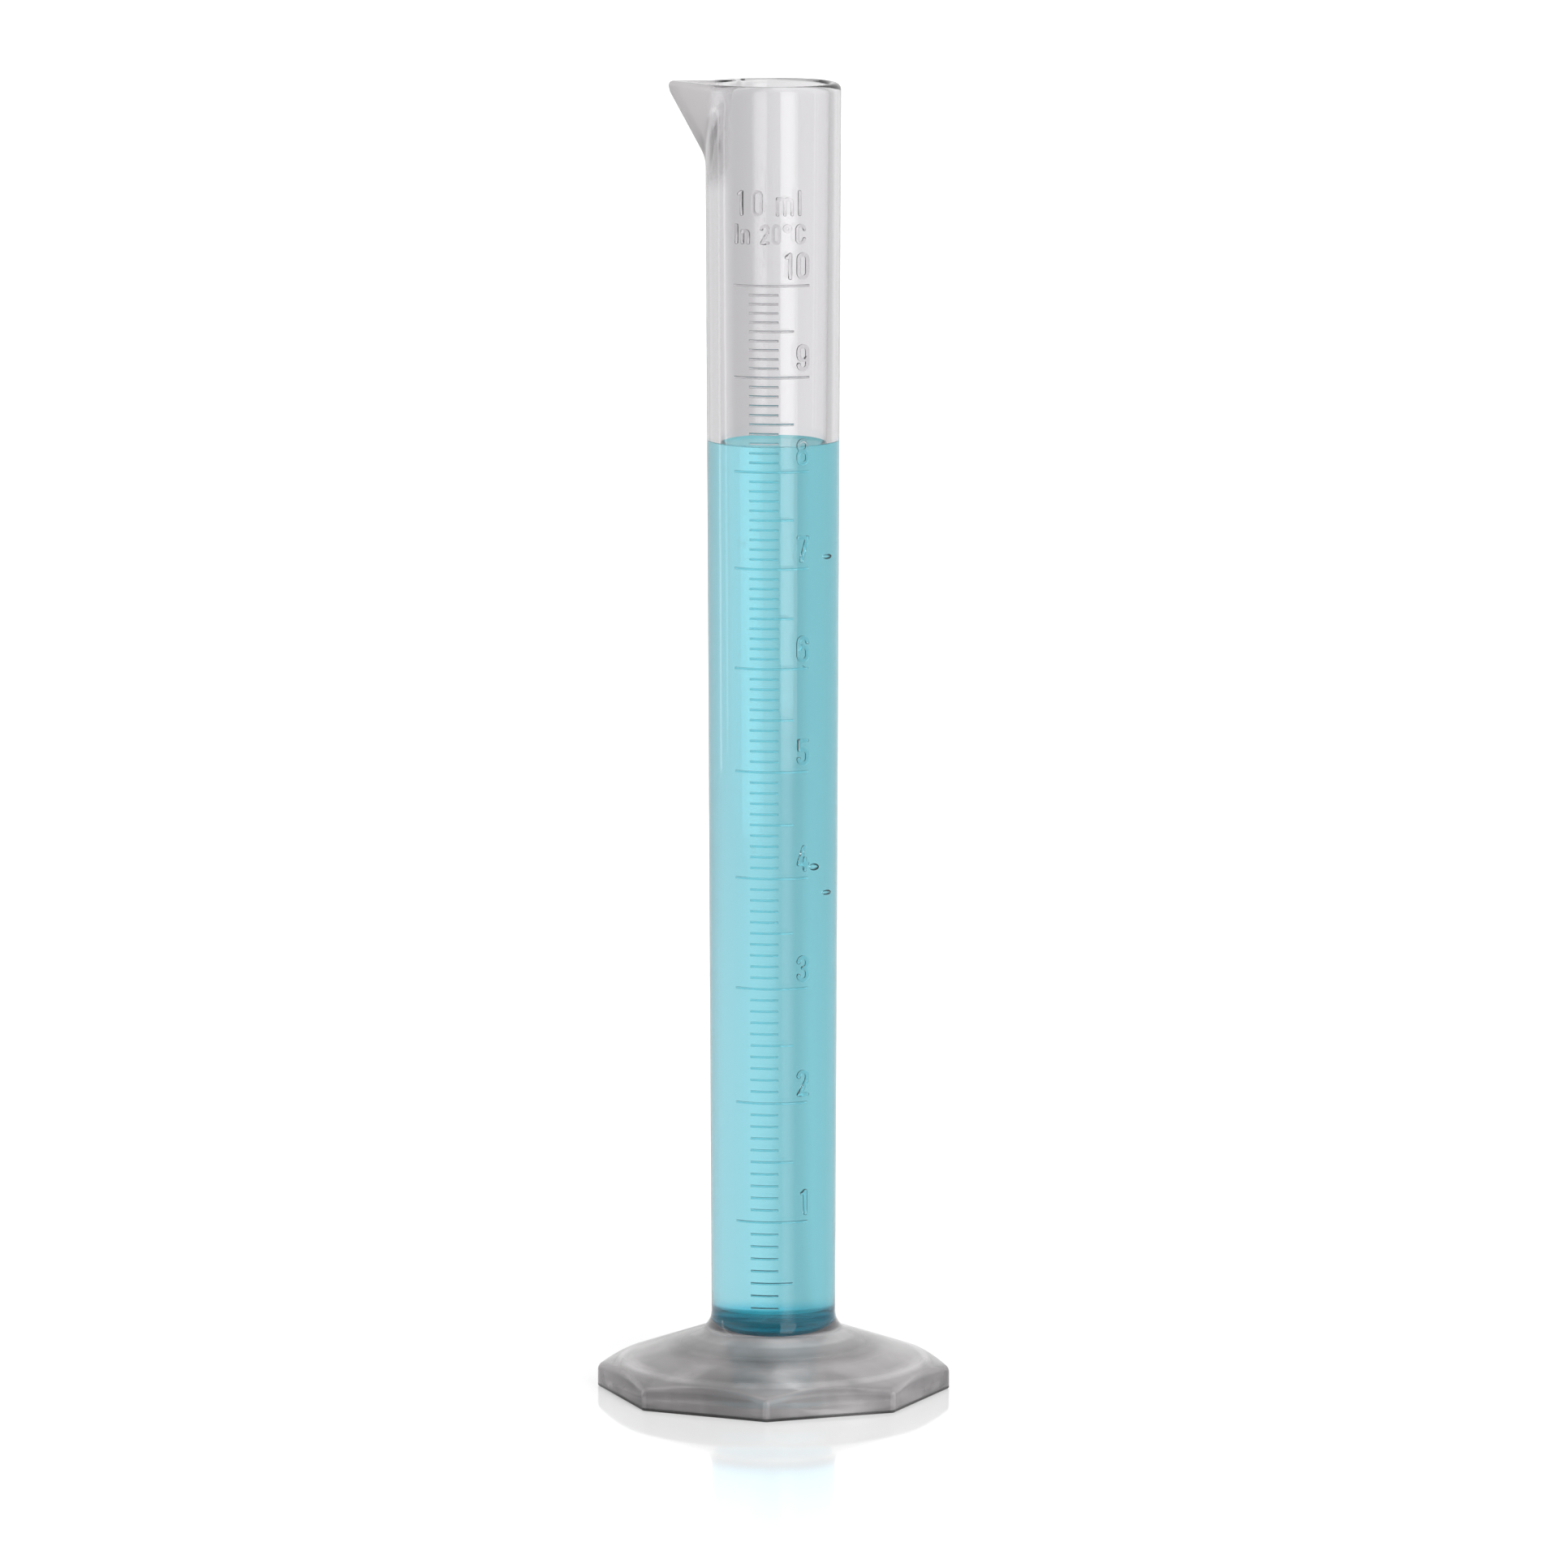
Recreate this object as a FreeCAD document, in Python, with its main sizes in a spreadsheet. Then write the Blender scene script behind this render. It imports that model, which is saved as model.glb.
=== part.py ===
import FreeCAD, Part
import math
import os
import Sketcher
from FreeCAD import Placement, Rotation, Vector

# A 10 ml graduated cylinder of clear plastic, standing on an octagonal foot.
# Millimetres. Z points up, the origin is the middle of the face that the foot rests on,
# the spout points along -X and the scale faces -Y.

doc = FreeCAD.newDocument("graduated_cylinder")
sheet = doc.addObject("Spreadsheet::Sheet", "sizes")

DRIVING_SIZES = [
    # barrel: a closed tube, drafted outside and a little more inside
    ("rim_height", 140.0),
    ("outer_radius_base", 6.6),
    ("outer_radius_rim", 7.19),
    ("bore_radius_base", 4.76),
    ("bore_radius_rim", 5.95),
    ("bore_floor", 5.5),
    ("bore_corner", 1.6),
    ("barrel_bottom", 4.0),
    ("rim_outer_round", 0.75),
    ("rim_inner_round", 0.3),
    # foot: an octagonal cover, hollow below, with a socket for the barrel
    ("foot_corner_radius", 18.86),
    ("foot_slope", 19.5),
    ("foot_height_at_edge", 2.45),
    ("foot_edge_round", 0.9),
    ("neck_top", 8.5),
    ("neck_lip", 0.12),
    ("neck_fillet", 2.3),
    ("recess_radius", 16.2),
    ("recess_wall_height", 1.3),
    # spout: a beak of two side walls that meet in a rounded keel
    ("spout_reach", 11.45),
    ("spout_drop", 7.9),
    ("spout_root", 4.2),
    ("spout_top_angle", 36.0),
    ("spout_low_angle", 46.0),
    ("spout_nose", 1.0),
    ("channel_reach", 10.0),
    ("channel_root", 3.0),
    ("channel_top_angle", 34.0),
    ("channel_low_angle", 44.0),
    ("channel_nose", 0.3),
    ("lip_rise", 0.25),
    ("lip_round", 0.5),
    # raised scale
    ("relief", 0.16),
    ("line_width", 0.26),
    ("long_line_left", 33.3),
    ("long_line_right", 34.5),
    ("half_line_left", 18.8),
    ("half_line_right", 20.2),
    ("short_line_left", 18.8),
    ("short_line_right", 6.8),
    ("first_mark", 0.3),
    ("capacity", 10.0),
    # raised numerals and words
    ("numeral_tall", 2.85),
    ("numeral_wide", 1.42),
    ("numeral_stroke", 0.42),
    ("numeral_lift", 0.68),
    ("numeral_right", 4.2),
    ("numeral_gap", 0.28),
    ("narrow_digit_share", 0.72),
    ("capacity_text_foot", 126.5),
    ("capacity_text_tall", 2.7),
    ("temperature_text_foot", 123.5),
    ("temperature_text_tall", 2.15),
    ("text_stroke", 0.34),
    # content
    ("fill_volume", 8.24),
    ("meniscus_rise", 0.2),
    ("meniscus_width", 0.8),
]


def fill_sheet():
    """Writes one plain number per row and gives its cell a name."""
    for row, (alias, value) in enumerate(DRIVING_SIZES, start=1):
        cell = "B%d" % row
        sheet.set("A%d" % row, alias)
        sheet.set(cell, str(value))
        sheet.setAlias(cell, alias)
    doc.recompute()


def size(alias):
    return float(sheet.get(alias))


def value_of(expression):
    """The number that a formula of sheet names gives."""
    return float(sheet.evalExpression(expression))


# ---------------------------------------------------------------- sketch helpers


def new_body(name):
    body = doc.addObject("PartDesign::Body", name)
    body.Label = name
    return body


def origin_plane(body, role):
    return [feature for feature in body.Origin.OriginFeatures if feature.Role == role][0]


def new_sketch(body, name, role, height=None):
    """A sketch on one of the body's origin planes, lifted by a formula where one is given."""
    sketch = body.newObject("Sketcher::SketchObject", name)
    sketch.AttachmentSupport = (origin_plane(body, role), [""])
    sketch.MapMode = "FlatFace"
    if height is not None:
        sketch.setExpression("AttachmentOffset.Base.z", height)
    return sketch


def drive_point(sketch, geometry, end, point):
    """Ties one end of a line to a pair of formulas, measured from the sketch's origin."""
    for kind, formula in zip(("DistanceX", "DistanceY"), point):
        start = value_of(formula)
        if abs(start) < 1e-9 and kind == "DistanceX":
            sketch.addConstraint(Sketcher.Constraint("PointOnObject", geometry, end, -2))
        elif abs(start) < 1e-9:
            sketch.addConstraint(Sketcher.Constraint("PointOnObject", geometry, end, -1))
        else:
            index = sketch.addConstraint(Sketcher.Constraint(kind, -1, 1, geometry, end, start))
            sketch.setExpression("Constraints[%d]" % index, formula)


def draw_outline(sketch, points):
    """A closed outline of straight lines through points that are pairs of formulas."""
    places = [Vector(value_of(across), value_of(up), 0) for across, up in points]
    count = len(places)
    for index in range(count):
        following = places[(index + 1) % count]
        sketch.addGeometry(Part.LineSegment(places[index], following), False)
    for index in range(count):
        joint = Sketcher.Constraint("Coincident", index, 2, (index + 1) % count, 1)
        sketch.addConstraint(joint)
    for index in range(count):
        drive_point(sketch, index, 1, points[index])


def revolve(body, sketch, name, kind="PartDesign::Revolution"):
    """Turns a sketch of the XZ plane about the Z axis."""
    feature = body.newObject(kind, name)
    feature.Profile = sketch
    feature.ReferenceAxis = (sketch, ["V_Axis"])
    feature.Angle = 360.0
    return feature


def edges_where(shape, test):
    """Names of the edges for whose middle point and length the test holds."""
    names = []
    for index, edge in enumerate(shape.Edges, start=1):
        middle = edge.valueAt((edge.FirstParameter + edge.LastParameter) / 2)
        if test(edge, middle):
            names.append("Edge%d" % index)
    return names


def round_edges(body, base, name, radius, test):
    """A fillet, its radius tied to the sheet, along the edges that the test picks."""
    doc.recompute()
    chosen = edges_where(base.Shape, test)
    if not chosen:
        raise RuntimeError("no edge found for " + name)
    fillet = body.newObject("PartDesign::Fillet", name)
    fillet.Base = (base, chosen)
    fillet.setExpression("Radius", radius)
    doc.recompute()
    return fillet


def near(value, target, slack=0.02):
    return abs(value - target) < slack


def is_circle(edge, radius, height):
    """Whether an edge is a circle round the Z axis, of this radius at this height."""
    if not isinstance(edge.Curve, Part.Circle):
        return False
    return near(edge.Curve.Radius, radius) and near(edge.Curve.Center.z, height)


# ---------------------------------------------------------------- drafted walls

OUTER_AT = "(sizes.outer_radius_base + (sizes.outer_radius_rim - sizes.outer_radius_base)"
OUTER_AT += " * (%s) / sizes.rim_height)"
BORE_AT = "(sizes.bore_radius_base + (sizes.bore_radius_rim - sizes.bore_radius_base)"
BORE_AT += " * (%s) / sizes.rim_height)"


def outer_radius(height):
    return value_of(OUTER_AT % height)


def bore_radius(height):
    return value_of(BORE_AT % height)


# ---------------------------------------------------------------- spout sections

# The keel runs from its reach at the rim down to the barrel's wall.
KEEL_SLOPE = "((sizes.spout_reach - sizes.outer_radius_rim) / sizes.spout_drop)"
SECTION_RISE = 1.0
SECTION_DEPTH = 9.5


def draw_beak_section(sketch, keel, angle, nose, root):
    """A horizontal cut of the beak, from formulas: two straight sides and a rounded nose."""
    touch = "(%s - %s - %s * sin(%s))" % (nose, keel, nose, angle)
    touch_aside = "(%s * cos(%s))" % (nose, angle)
    sharp = "(%s + %s * (1 / sin(%s) - 1))" % (keel, nose, angle)
    root_aside = "((%s - %s) * tan(%s))" % (sharp, root, angle)
    points = [
        (touch, touch_aside),
        (touch, "(0 - %s)" % touch_aside),
        ("(0 - %s)" % root, "(0 - %s)" % root_aside),
        ("(0 - %s)" % root, root_aside),
    ]
    places = [Vector(value_of(across), value_of(up), 0) for across, up in points]
    tip = Vector(-value_of(keel), 0, 0)
    sketch.addGeometry(Part.Arc(places[0], tip, places[1]), False)
    for index in (1, 2, 3):
        sketch.addGeometry(Part.LineSegment(places[index], places[(index + 1) % 4]), False)
    for index in range(4):
        sketch.addConstraint(Sketcher.Constraint("Coincident", index, 2, (index + 1) % 4, 1))
        drive_point(sketch, index, 1, points[index])
    rounding = sketch.addConstraint(Sketcher.Constraint("Radius", 0, value_of(nose)))
    sketch.setExpression("Constraints[%d]" % rounding, nose)


def beak_loft(body, kind, part):
    """A ruled loft between a section just over the rim and one below the keel's foot."""
    top = new_sketch(body, "%s_top" % part, "XY_Plane", "sizes.rim_height + %s" % SECTION_RISE)
    low = new_sketch(body, "%s_low" % part, "XY_Plane", "sizes.rim_height - %s" % SECTION_DEPTH)
    own = "sizes.%s_" % part
    top_keel = "(%sreach + %s * %s)" % (own, SECTION_RISE, KEEL_SLOPE)
    low_keel = "(%sreach - %s * %s)" % (own, SECTION_DEPTH, KEEL_SLOPE)
    draw_beak_section(top, top_keel, own + "top_angle", own + "nose", own + "root")
    draw_beak_section(low, low_keel, own + "low_angle", own + "nose", own + "root")
    loft = body.newObject(kind, "%s_loft" % part)
    loft.Profile = top
    loft.Sections = [low]
    loft.Ruled = True
    return loft


def cut_channel(body):
    """The V-shaped way that lets the liquid run from the bore into the beak."""
    return beak_loft(body, "PartDesign::SubtractiveLoft", "channel")


# ---------------------------------------------------------------- main pieces


def make_barrel():
    """The tube, closed below, with a rounded rim and an opening into the spout."""
    body = new_body("barrel")
    sketch = new_sketch(body, "barrel_profile", "XZ_Plane")
    draw_outline(sketch, [
        ("0", "sizes.barrel_bottom"),
        (OUTER_AT % "sizes.barrel_bottom", "sizes.barrel_bottom"),
        ("sizes.outer_radius_rim", "sizes.rim_height"),
        ("sizes.bore_radius_rim", "sizes.rim_height"),
        (BORE_AT % "sizes.bore_floor", "sizes.bore_floor"),
        ("0", "sizes.bore_floor"),
    ])
    tube = revolve(body, sketch, "tube")
    rim = size("rim_height")
    floor = size("bore_floor")
    outside = round_edges(body, tube, "rim_outside", "sizes.rim_outer_round",
                          lambda edge, _: is_circle(edge, size("outer_radius_rim"), rim))
    inside = round_edges(body, outside, "rim_inside", "sizes.rim_inner_round",
                         lambda edge, _: is_circle(edge, size("bore_radius_rim"), rim))
    round_edges(body, inside, "bore_bottom", "sizes.bore_corner",
                lambda edge, _: is_circle(edge, bore_radius(str(floor)), floor))
    body.Tip = cut_channel(body)
    return body


def make_barrel_envelope():
    """The barrel's outer form as one filled body, which the spout is trimmed with."""
    body = new_body("barrel_envelope")
    sketch = new_sketch(body, "envelope_profile", "XZ_Plane")
    draw_outline(sketch, [
        ("0", "sizes.barrel_bottom"),
        (OUTER_AT % "sizes.barrel_bottom", "sizes.barrel_bottom"),
        ("sizes.outer_radius_rim", "sizes.rim_height"),
        ("0", "sizes.rim_height"),
    ])
    block = revolve(body, sketch, "envelope")
    rim = size("rim_height")
    round_edges(body, block, "envelope_rim", "sizes.rim_outer_round",
                lambda edge, _: is_circle(edge, size("outer_radius_rim"), rim))
    return body


def draw_lip_limit(sketch):
    """The region over and beyond the lip, with a round corner where the lip ends.

    It reaches a clearance past the beak, so that its other sides touch nothing.
    """
    clearance = 3.0
    rim = size("rim_height")
    reach = size("spout_reach")
    slope = value_of(KEEL_SLOPE)
    root = Vector(-size("outer_radius_rim"), rim, 0)
    tip = Vector(-(reach + size("lip_rise") * slope), rim + size("lip_rise"), 0)
    keel = Vector(slope, -1, 0).normalize()
    top = (root - tip).normalize()
    radius = size("lip_round")
    opening = keel.getAngle(top)
    run = radius / math.tan(opening / 2)
    start = tip + top * run
    finish = tip + keel * run
    centre = tip + (keel + top).normalize() * (radius / math.sin(opening / 2))
    middle = centre + (tip - centre).normalize() * radius
    far = reach + clearance
    over = rim + clearance
    below = finish - Vector(clearance / 2, clearance, 0)
    corners = [finish, below, Vector(-far, below.y, 0), Vector(-far, over, 0),
               Vector(0, over, 0), Vector(0, rim, 0), root, start]
    for first, second in zip(corners, corners[1:]):
        sketch.addGeometry(Part.LineSegment(first, second), False)
    sketch.addGeometry(Part.Arc(start, middle, finish), False)


def make_spout_block():
    """The beak with its channel and lip, still reaching into the barrel."""
    body = new_body("spout_block")
    beak_loft(body, "PartDesign::AdditiveLoft", "spout")
    doc.recompute()
    cut_channel(body)
    doc.recompute()
    before = body.Shape.Volume
    sketch = new_sketch(body, "lip_limit", "XZ_Plane")
    draw_lip_limit(sketch)
    trim = body.newObject("PartDesign::Pocket", "lip_trim")
    trim.Profile = sketch
    trim.Type = "ThroughAll"
    trim.Midplane = True
    doc.recompute()
    if trim.Shape.Volume >= before:
        raise RuntimeError("the lip was not trimmed")
    body.Tip = trim
    return body


def make_spout(envelope):
    """The spout alone: the beak without the part of it that would lie inside the barrel."""
    spout = doc.addObject("Part::Cut", "pouring_spout")
    spout.Label = "pouring_spout"
    spout.Base = make_spout_block()
    spout.Tool = envelope
    return spout


def make_foot():
    """The octagonal foot: sloped top, neck that holds the barrel, hollow underside."""
    body = new_body("foot")
    slope = "tan(sizes.foot_slope)"
    edge_height = "sizes.foot_height_at_edge"
    plate = new_sketch(body, "octagon", "XY_Plane")
    corners = []
    for index in range(8):
        turn = 45.0 * index
        corners.append(("sizes.foot_corner_radius * cos(%s)" % turn,
                        "sizes.foot_corner_radius * sin(%s)" % turn))
    draw_outline(plate, corners)
    block = body.newObject("PartDesign::Pad", "octagon_block")
    block.Profile = plate
    block.setExpression("Length", "sizes.neck_top")
    doc.recompute()

    neck = "(%s + sizes.neck_lip)" % (OUTER_AT % "sizes.neck_top")
    beyond = "(sizes.foot_corner_radius + 2)"
    shoulder = "(%s + (sizes.foot_corner_radius - %s) * %s)" % (edge_height, neck, slope)
    outer_end = "(%s - 2 * %s)" % (edge_height, slope)
    above = new_sketch(body, "above_cover", "XZ_Plane")
    draw_outline(above, [
        (neck, shoulder),
        (beyond, outer_end),
        (beyond, "sizes.neck_top + 1"),
        (neck, "sizes.neck_top + 1"),
    ])
    cover = revolve(body, above, "cover_slope", "PartDesign::Groove")

    top_edges = round_edges(body, cover, "cover_edge", "sizes.foot_edge_round",
                            lambda edge, middle: is_cover_edge(edge, middle))
    shoulder_height = value_of(shoulder)
    fillet = round_edges(body, top_edges, "neck_root", "sizes.neck_fillet",
                         lambda edge, _: is_circle(edge, value_of(neck), shoulder_height))

    ceiling = "sizes.barrel_bottom"
    recess = new_sketch(body, "recess_profile", "XZ_Plane")
    rise = "((%s - sizes.recess_wall_height) / %s)" % (ceiling, slope)
    draw_outline(recess, [
        ("0", "-1"),
        ("sizes.recess_radius", "-1"),
        ("sizes.recess_radius", "sizes.recess_wall_height"),
        ("sizes.recess_radius - %s" % rise, ceiling),
        ("0", ceiling),
    ])
    hollow = revolve(body, recess, "recess", "PartDesign::Groove")
    doc.recompute()

    socket = new_sketch(body, "socket_profile", "XZ_Plane")
    draw_outline(socket, [
        ("0", ceiling + " - 1"),
        (OUTER_AT % (ceiling + " - 1"), ceiling + " - 1"),
        (OUTER_AT % "sizes.neck_top + 1", "sizes.neck_top + 1"),
        ("0", "sizes.neck_top + 1"),
    ])
    seat = revolve(body, socket, "socket", "PartDesign::Groove")
    doc.recompute()
    if not (seat.Shape.Volume < hollow.Shape.Volume < fillet.Shape.Volume < block.Shape.Volume):
        raise RuntimeError("a cut of the foot removed nothing")
    body.Tip = seat
    return body


def is_cover_edge(edge, middle):
    """Whether an edge is one of the eight where the sloped top meets a side of the octagon."""
    on_side = math.hypot(middle.x, middle.y) > size("foot_corner_radius") * 0.9
    first, last = edge.Vertexes[0].Point, edge.Vertexes[-1].Point
    return on_side and middle.z > 1.0 and near(first.z, last.z)


# ---------------------------------------------------------------- volume and height


def bore_taper():
    return (size("bore_radius_rim") - size("bore_radius_base")) / size("rim_height")


def level_for(millilitres):
    """The height that this volume reaches in the drafted bore with its rounded corner."""
    start = bore_radius("sizes.bore_floor")
    corner = size("bore_corner")
    corner_loss = (1 - math.pi / 4) * corner ** 2 * 2 * math.pi * (start - 0.2234 * corner)
    full = millilitres * 1000.0 + corner_loss
    taper = bore_taper()
    wide = (start ** 3 + 3 * taper * full / math.pi) ** (1.0 / 3.0)
    return size("bore_floor") + (wide - start) / taper


def make_liquid():
    """The content: it fills the bore up to its level and climbs a little at the wall."""
    level = level_for(size("fill_volume"))
    rise = size("meniscus_rise")
    wall = bore_radius(str(level + rise))
    floor = size("bore_floor")
    start = bore_radius(str(floor))
    corner = size("bore_corner")
    draft = math.atan(bore_taper())
    opening = math.pi / 2 + draft
    run = corner / math.tan(opening / 2)
    centre = Vector(start - run, 0, floor + corner)
    wall_point = Vector(start + run * math.sin(draft), 0, floor + run * math.cos(draft))
    floor_point = Vector(start - run, 0, floor)
    corner_way = (wall_point + floor_point) * 0.5 - centre
    corner_middle = centre + corner_way.normalize() * corner
    top_centre = Vector(0, 0, level)
    flat_end = Vector(wall - size("meniscus_width"), 0, level)
    climb_middle = Vector(wall - size("meniscus_width") * 0.34, 0, level + rise * 0.4)
    top_wall = Vector(wall, 0, level + rise)
    edges = [
        Part.LineSegment(Vector(0, 0, floor), floor_point),
        Part.Arc(floor_point, corner_middle, wall_point),
        Part.LineSegment(wall_point, top_wall),
        Part.Arc(top_wall, climb_middle, flat_end),
        Part.LineSegment(flat_end, top_centre),
        Part.LineSegment(top_centre, Vector(0, 0, floor)),
    ]
    profile = Part.Face(Part.Wire([edge.toShape() for edge in edges]))
    return add_feature("blue_liquid", profile.revolve(Vector(0, 0, 0), Vector(0, 0, 1), 360))


def add_feature(name, shape):
    feature = doc.addObject("Part::Feature", name)
    feature.Label = name
    feature.Shape = shape
    feature.Placement = Placement()
    return feature


# ---------------------------------------------------------------- scale lines


def scale_line(height, left, right):
    """A low ridge on the barrel's wall, between two angles from the middle of the scale."""
    half = size("line_width") / 2
    relief = size("relief")
    low = outer_radius(str(height - half))
    high = outer_radius(str(height + half))
    crest = relief * 0.35
    corners = [
        Vector(low, 0, height - half),
        Vector(low + relief, 0, height - half + crest),
        Vector(high + relief, 0, height + half - crest),
        Vector(high, 0, height + half),
    ]
    section = Part.Face(Part.makePolygon(corners + corners[:1]))
    section.rotate(Vector(0, 0, 0), Vector(0, 0, 1), -90 - left)
    return section.revolve(Vector(0, 0, 0), Vector(0, 0, 1), left + right)


def make_scale_lines():
    """The three kinds of line: every millilitre, every half and every tenth."""
    tenths = range(round(size("first_mark") * 10), round(size("capacity") * 10) + 1)
    groups = {"millilitre_lines": [], "half_millilitre_lines": [], "tenth_millilitre_lines": []}
    for tenth in tenths:
        height = level_for(tenth / 10.0)
        if tenth % 10 == 0:
            kind, left, right = "millilitre_lines", "long_line_left", "long_line_right"
        elif tenth % 5 == 0:
            kind, left, right = "half_millilitre_lines", "half_line_left", "half_line_right"
        else:
            kind, left, right = "tenth_millilitre_lines", "short_line_left", "short_line_right"
        groups[kind].append(scale_line(height, size(left), size(right)))
    return [add_feature(name, Part.makeCompound(lines)) for name, lines in groups.items()]


# ---------------------------------------------------------------- raised characters

# A character is a list of strokes. A stroke is a list of pieces, each of two points for a
# straight run or three for an arc, in a box that is wide by tall, with 0, 0 at its lower left.


def stadium(wide, low, high):
    """A closed upright loop with round ends."""
    radius = wide / 2
    return [
        ((0, low + radius), (radius, low), (wide, low + radius)),
        ((wide, low + radius), (wide, high - radius)),
        ((wide, high - radius), (radius, high), (0, high - radius)),
        ((0, high - radius), (0, low + radius)),
    ]


def quarter(centre, radius, start):
    """A quarter circle that runs anticlockwise from an angle in degrees."""
    points = []
    for turn in (start, start + 45, start + 90):
        angle = math.radians(turn)
        points.append((centre[0] + radius * math.cos(angle), centre[1] + radius * math.sin(angle)))
    return tuple(points)


def half_turned(strokes, wide, tall):
    return [[tuple((wide - across, tall - up) for across, up in piece) for piece in stroke]
            for stroke in strokes]


def draw_zero(wide, tall):
    return [stadium(wide, 0, tall)]


def draw_one(wide, tall):
    stem = wide * 0.62
    return [[((0, tall - 0.75 * stem), (stem, tall)), ((stem, tall), (stem, 0))]]


def draw_two(wide, tall):
    radius = wide / 2
    return [[
        ((0, tall - radius), (radius, tall), (wide, tall - radius)),
        ((wide, tall - radius), (wide * 0.93, tall * 0.6)),
        ((wide * 0.93, tall * 0.6), (0, 0)),
        ((0, 0), (wide, 0)),
    ]]


def draw_three(wide, tall):
    radius = wide / 2
    middle = tall * 0.53
    return [
        [
            ((0, tall - radius), (radius, tall), (wide, tall - radius)),
            ((wide, tall - radius), (wide, middle + radius)),
            quarter((wide - radius, middle + radius), radius, 270),
        ],
        [
            quarter((wide - radius, middle - radius), radius, 0),
            ((wide, middle - radius), (wide, radius)),
            ((wide, radius), (radius, 0), (0, radius)),
        ],
    ]


def draw_four(wide, tall):
    bar = tall * 0.26
    return [
        [((wide * 0.6, tall), (0, bar)), ((0, bar), (wide, bar))],
        [((wide * 0.72, tall * 0.5), (wide * 0.72, 0))],
    ]


def draw_five(wide, tall):
    radius = wide / 2
    shoulder = tall * 0.6
    return [[
        ((wide * 0.95, tall), (wide * 0.06, tall)),
        ((wide * 0.06, tall), (wide * 0.06, shoulder)),
        ((wide * 0.06, shoulder), (radius, shoulder)),
        quarter((radius, shoulder - radius), radius, 0),
        ((wide, shoulder - radius), (wide, radius)),
        ((wide, radius), (radius, 0), (0, radius)),
    ]]


def draw_six(wide, tall):
    radius = wide / 2
    return [
        stadium(wide, 0, tall * 0.6),
        [
            ((0, radius), (0, tall - radius)),
            ((0, tall - radius), (radius, tall), (wide, tall - radius)),
        ],
    ]


def draw_seven(wide, tall):
    return [[((0, tall), (wide, tall)), ((wide, tall), (wide * 0.28, 0))]]


def draw_eight(wide, tall):
    return [stadium(wide, 0, tall * 0.54), stadium(wide, tall * 0.54, tall)]


def draw_nine(wide, tall):
    return half_turned(draw_six(wide, tall), wide, tall)


def draw_stem(wide, tall):
    return [[((wide / 2, 0), (wide / 2, tall))]]


def arch(left, right, tall):
    """The bow and right leg of an n."""
    radius = (right - left) / 2
    return [
        ((left, tall - radius), (left + radius, tall), (right, tall - radius)),
        ((right, tall - radius), (right, 0)),
    ]


def draw_small_n(wide, tall):
    return [[((0, 0), (0, tall))], arch(0, wide, tall)]


def draw_small_m(wide, tall):
    return [[((0, 0), (0, tall))], arch(0, wide / 2, tall), arch(wide / 2, wide, tall)]


def draw_large_c(wide, tall):
    radius = wide / 2
    return [[
        ((wide, tall - radius), (radius, tall), (0, tall - radius)),
        ((0, tall - radius), (0, radius)),
        ((0, radius), (radius, 0), (wide, radius)),
    ]]


def draw_degree(wide, tall):
    radius = wide / 2
    return [[
        ((0, tall - radius), (radius, tall), (wide, tall - radius)),
        ((wide, tall - radius), (radius, tall - wide), (0, tall - radius)),
    ]]


DIGITS = {
    "0": draw_zero, "1": draw_one, "2": draw_two, "3": draw_three, "4": draw_four,
    "5": draw_five, "6": draw_six, "7": draw_seven, "8": draw_eight, "9": draw_nine,
}


def in_front(point, depth):
    """A point of a character's box as a place before the scale's front, which faces -Y."""
    return Vector(point[0], -depth, point[1])


def stroke_run(piece, stroke, depth, reach):
    """One straight or bent run of a stroke as a bar that points along Y."""
    along = Vector(0, reach, 0)
    if len(piece) == 2:
        start, end = [in_front(point, depth) for point in piece]
        side = (end - start).cross(Vector(0, 1, 0)).normalize() * (stroke / 2)
        outline = Part.makePolygon([start + side, end + side, end - side, start - side, start + side])
        return Part.Face(outline).extrude(along)
    points = [in_front(point, depth) for point in piece]
    circle = Part.Arc(*points).toShape().Curve
    centre = circle.Center
    outward = [(point - centre).normalize() for point in points]
    outer = [centre + way * (circle.Radius + stroke / 2) for way in outward]
    inner = [centre + way * (circle.Radius - stroke / 2) for way in outward]
    outline = Part.Wire([
        Part.Arc(*outer).toShape(),
        Part.LineSegment(outer[2], inner[2]).toShape(),
        Part.Arc(*inner[::-1]).toShape(),
        Part.LineSegment(inner[0], outer[0]).toShape(),
    ])
    return Part.Face(outline).extrude(along)


def stroke_ends(strokes, stroke, depth, reach):
    """A round bar at every end and bend, so that strokes end round and join without a notch."""
    places = set()
    for pieces in strokes:
        for piece in pieces:
            for point in (piece[0], piece[-1]):
                places.add((round(point[0], 6), round(point[1], 6)))
    return [Part.makeCylinder(stroke / 2, reach, in_front(place, depth), Vector(0, 1, 0))
            for place in sorted(places)]


def relief_shell(low, high):
    """The thin skin over the barrel's wall that raised characters fill."""
    relief = size("relief")
    low_radius = outer_radius(str(low))
    high_radius = outer_radius(str(high))
    tall = high - low
    base = Vector(0, 0, low)
    skin = Part.makeCone(low_radius + relief, high_radius + relief, tall, base)
    return skin.cut(Part.makeCone(low_radius, high_radius, tall, base))


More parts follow.
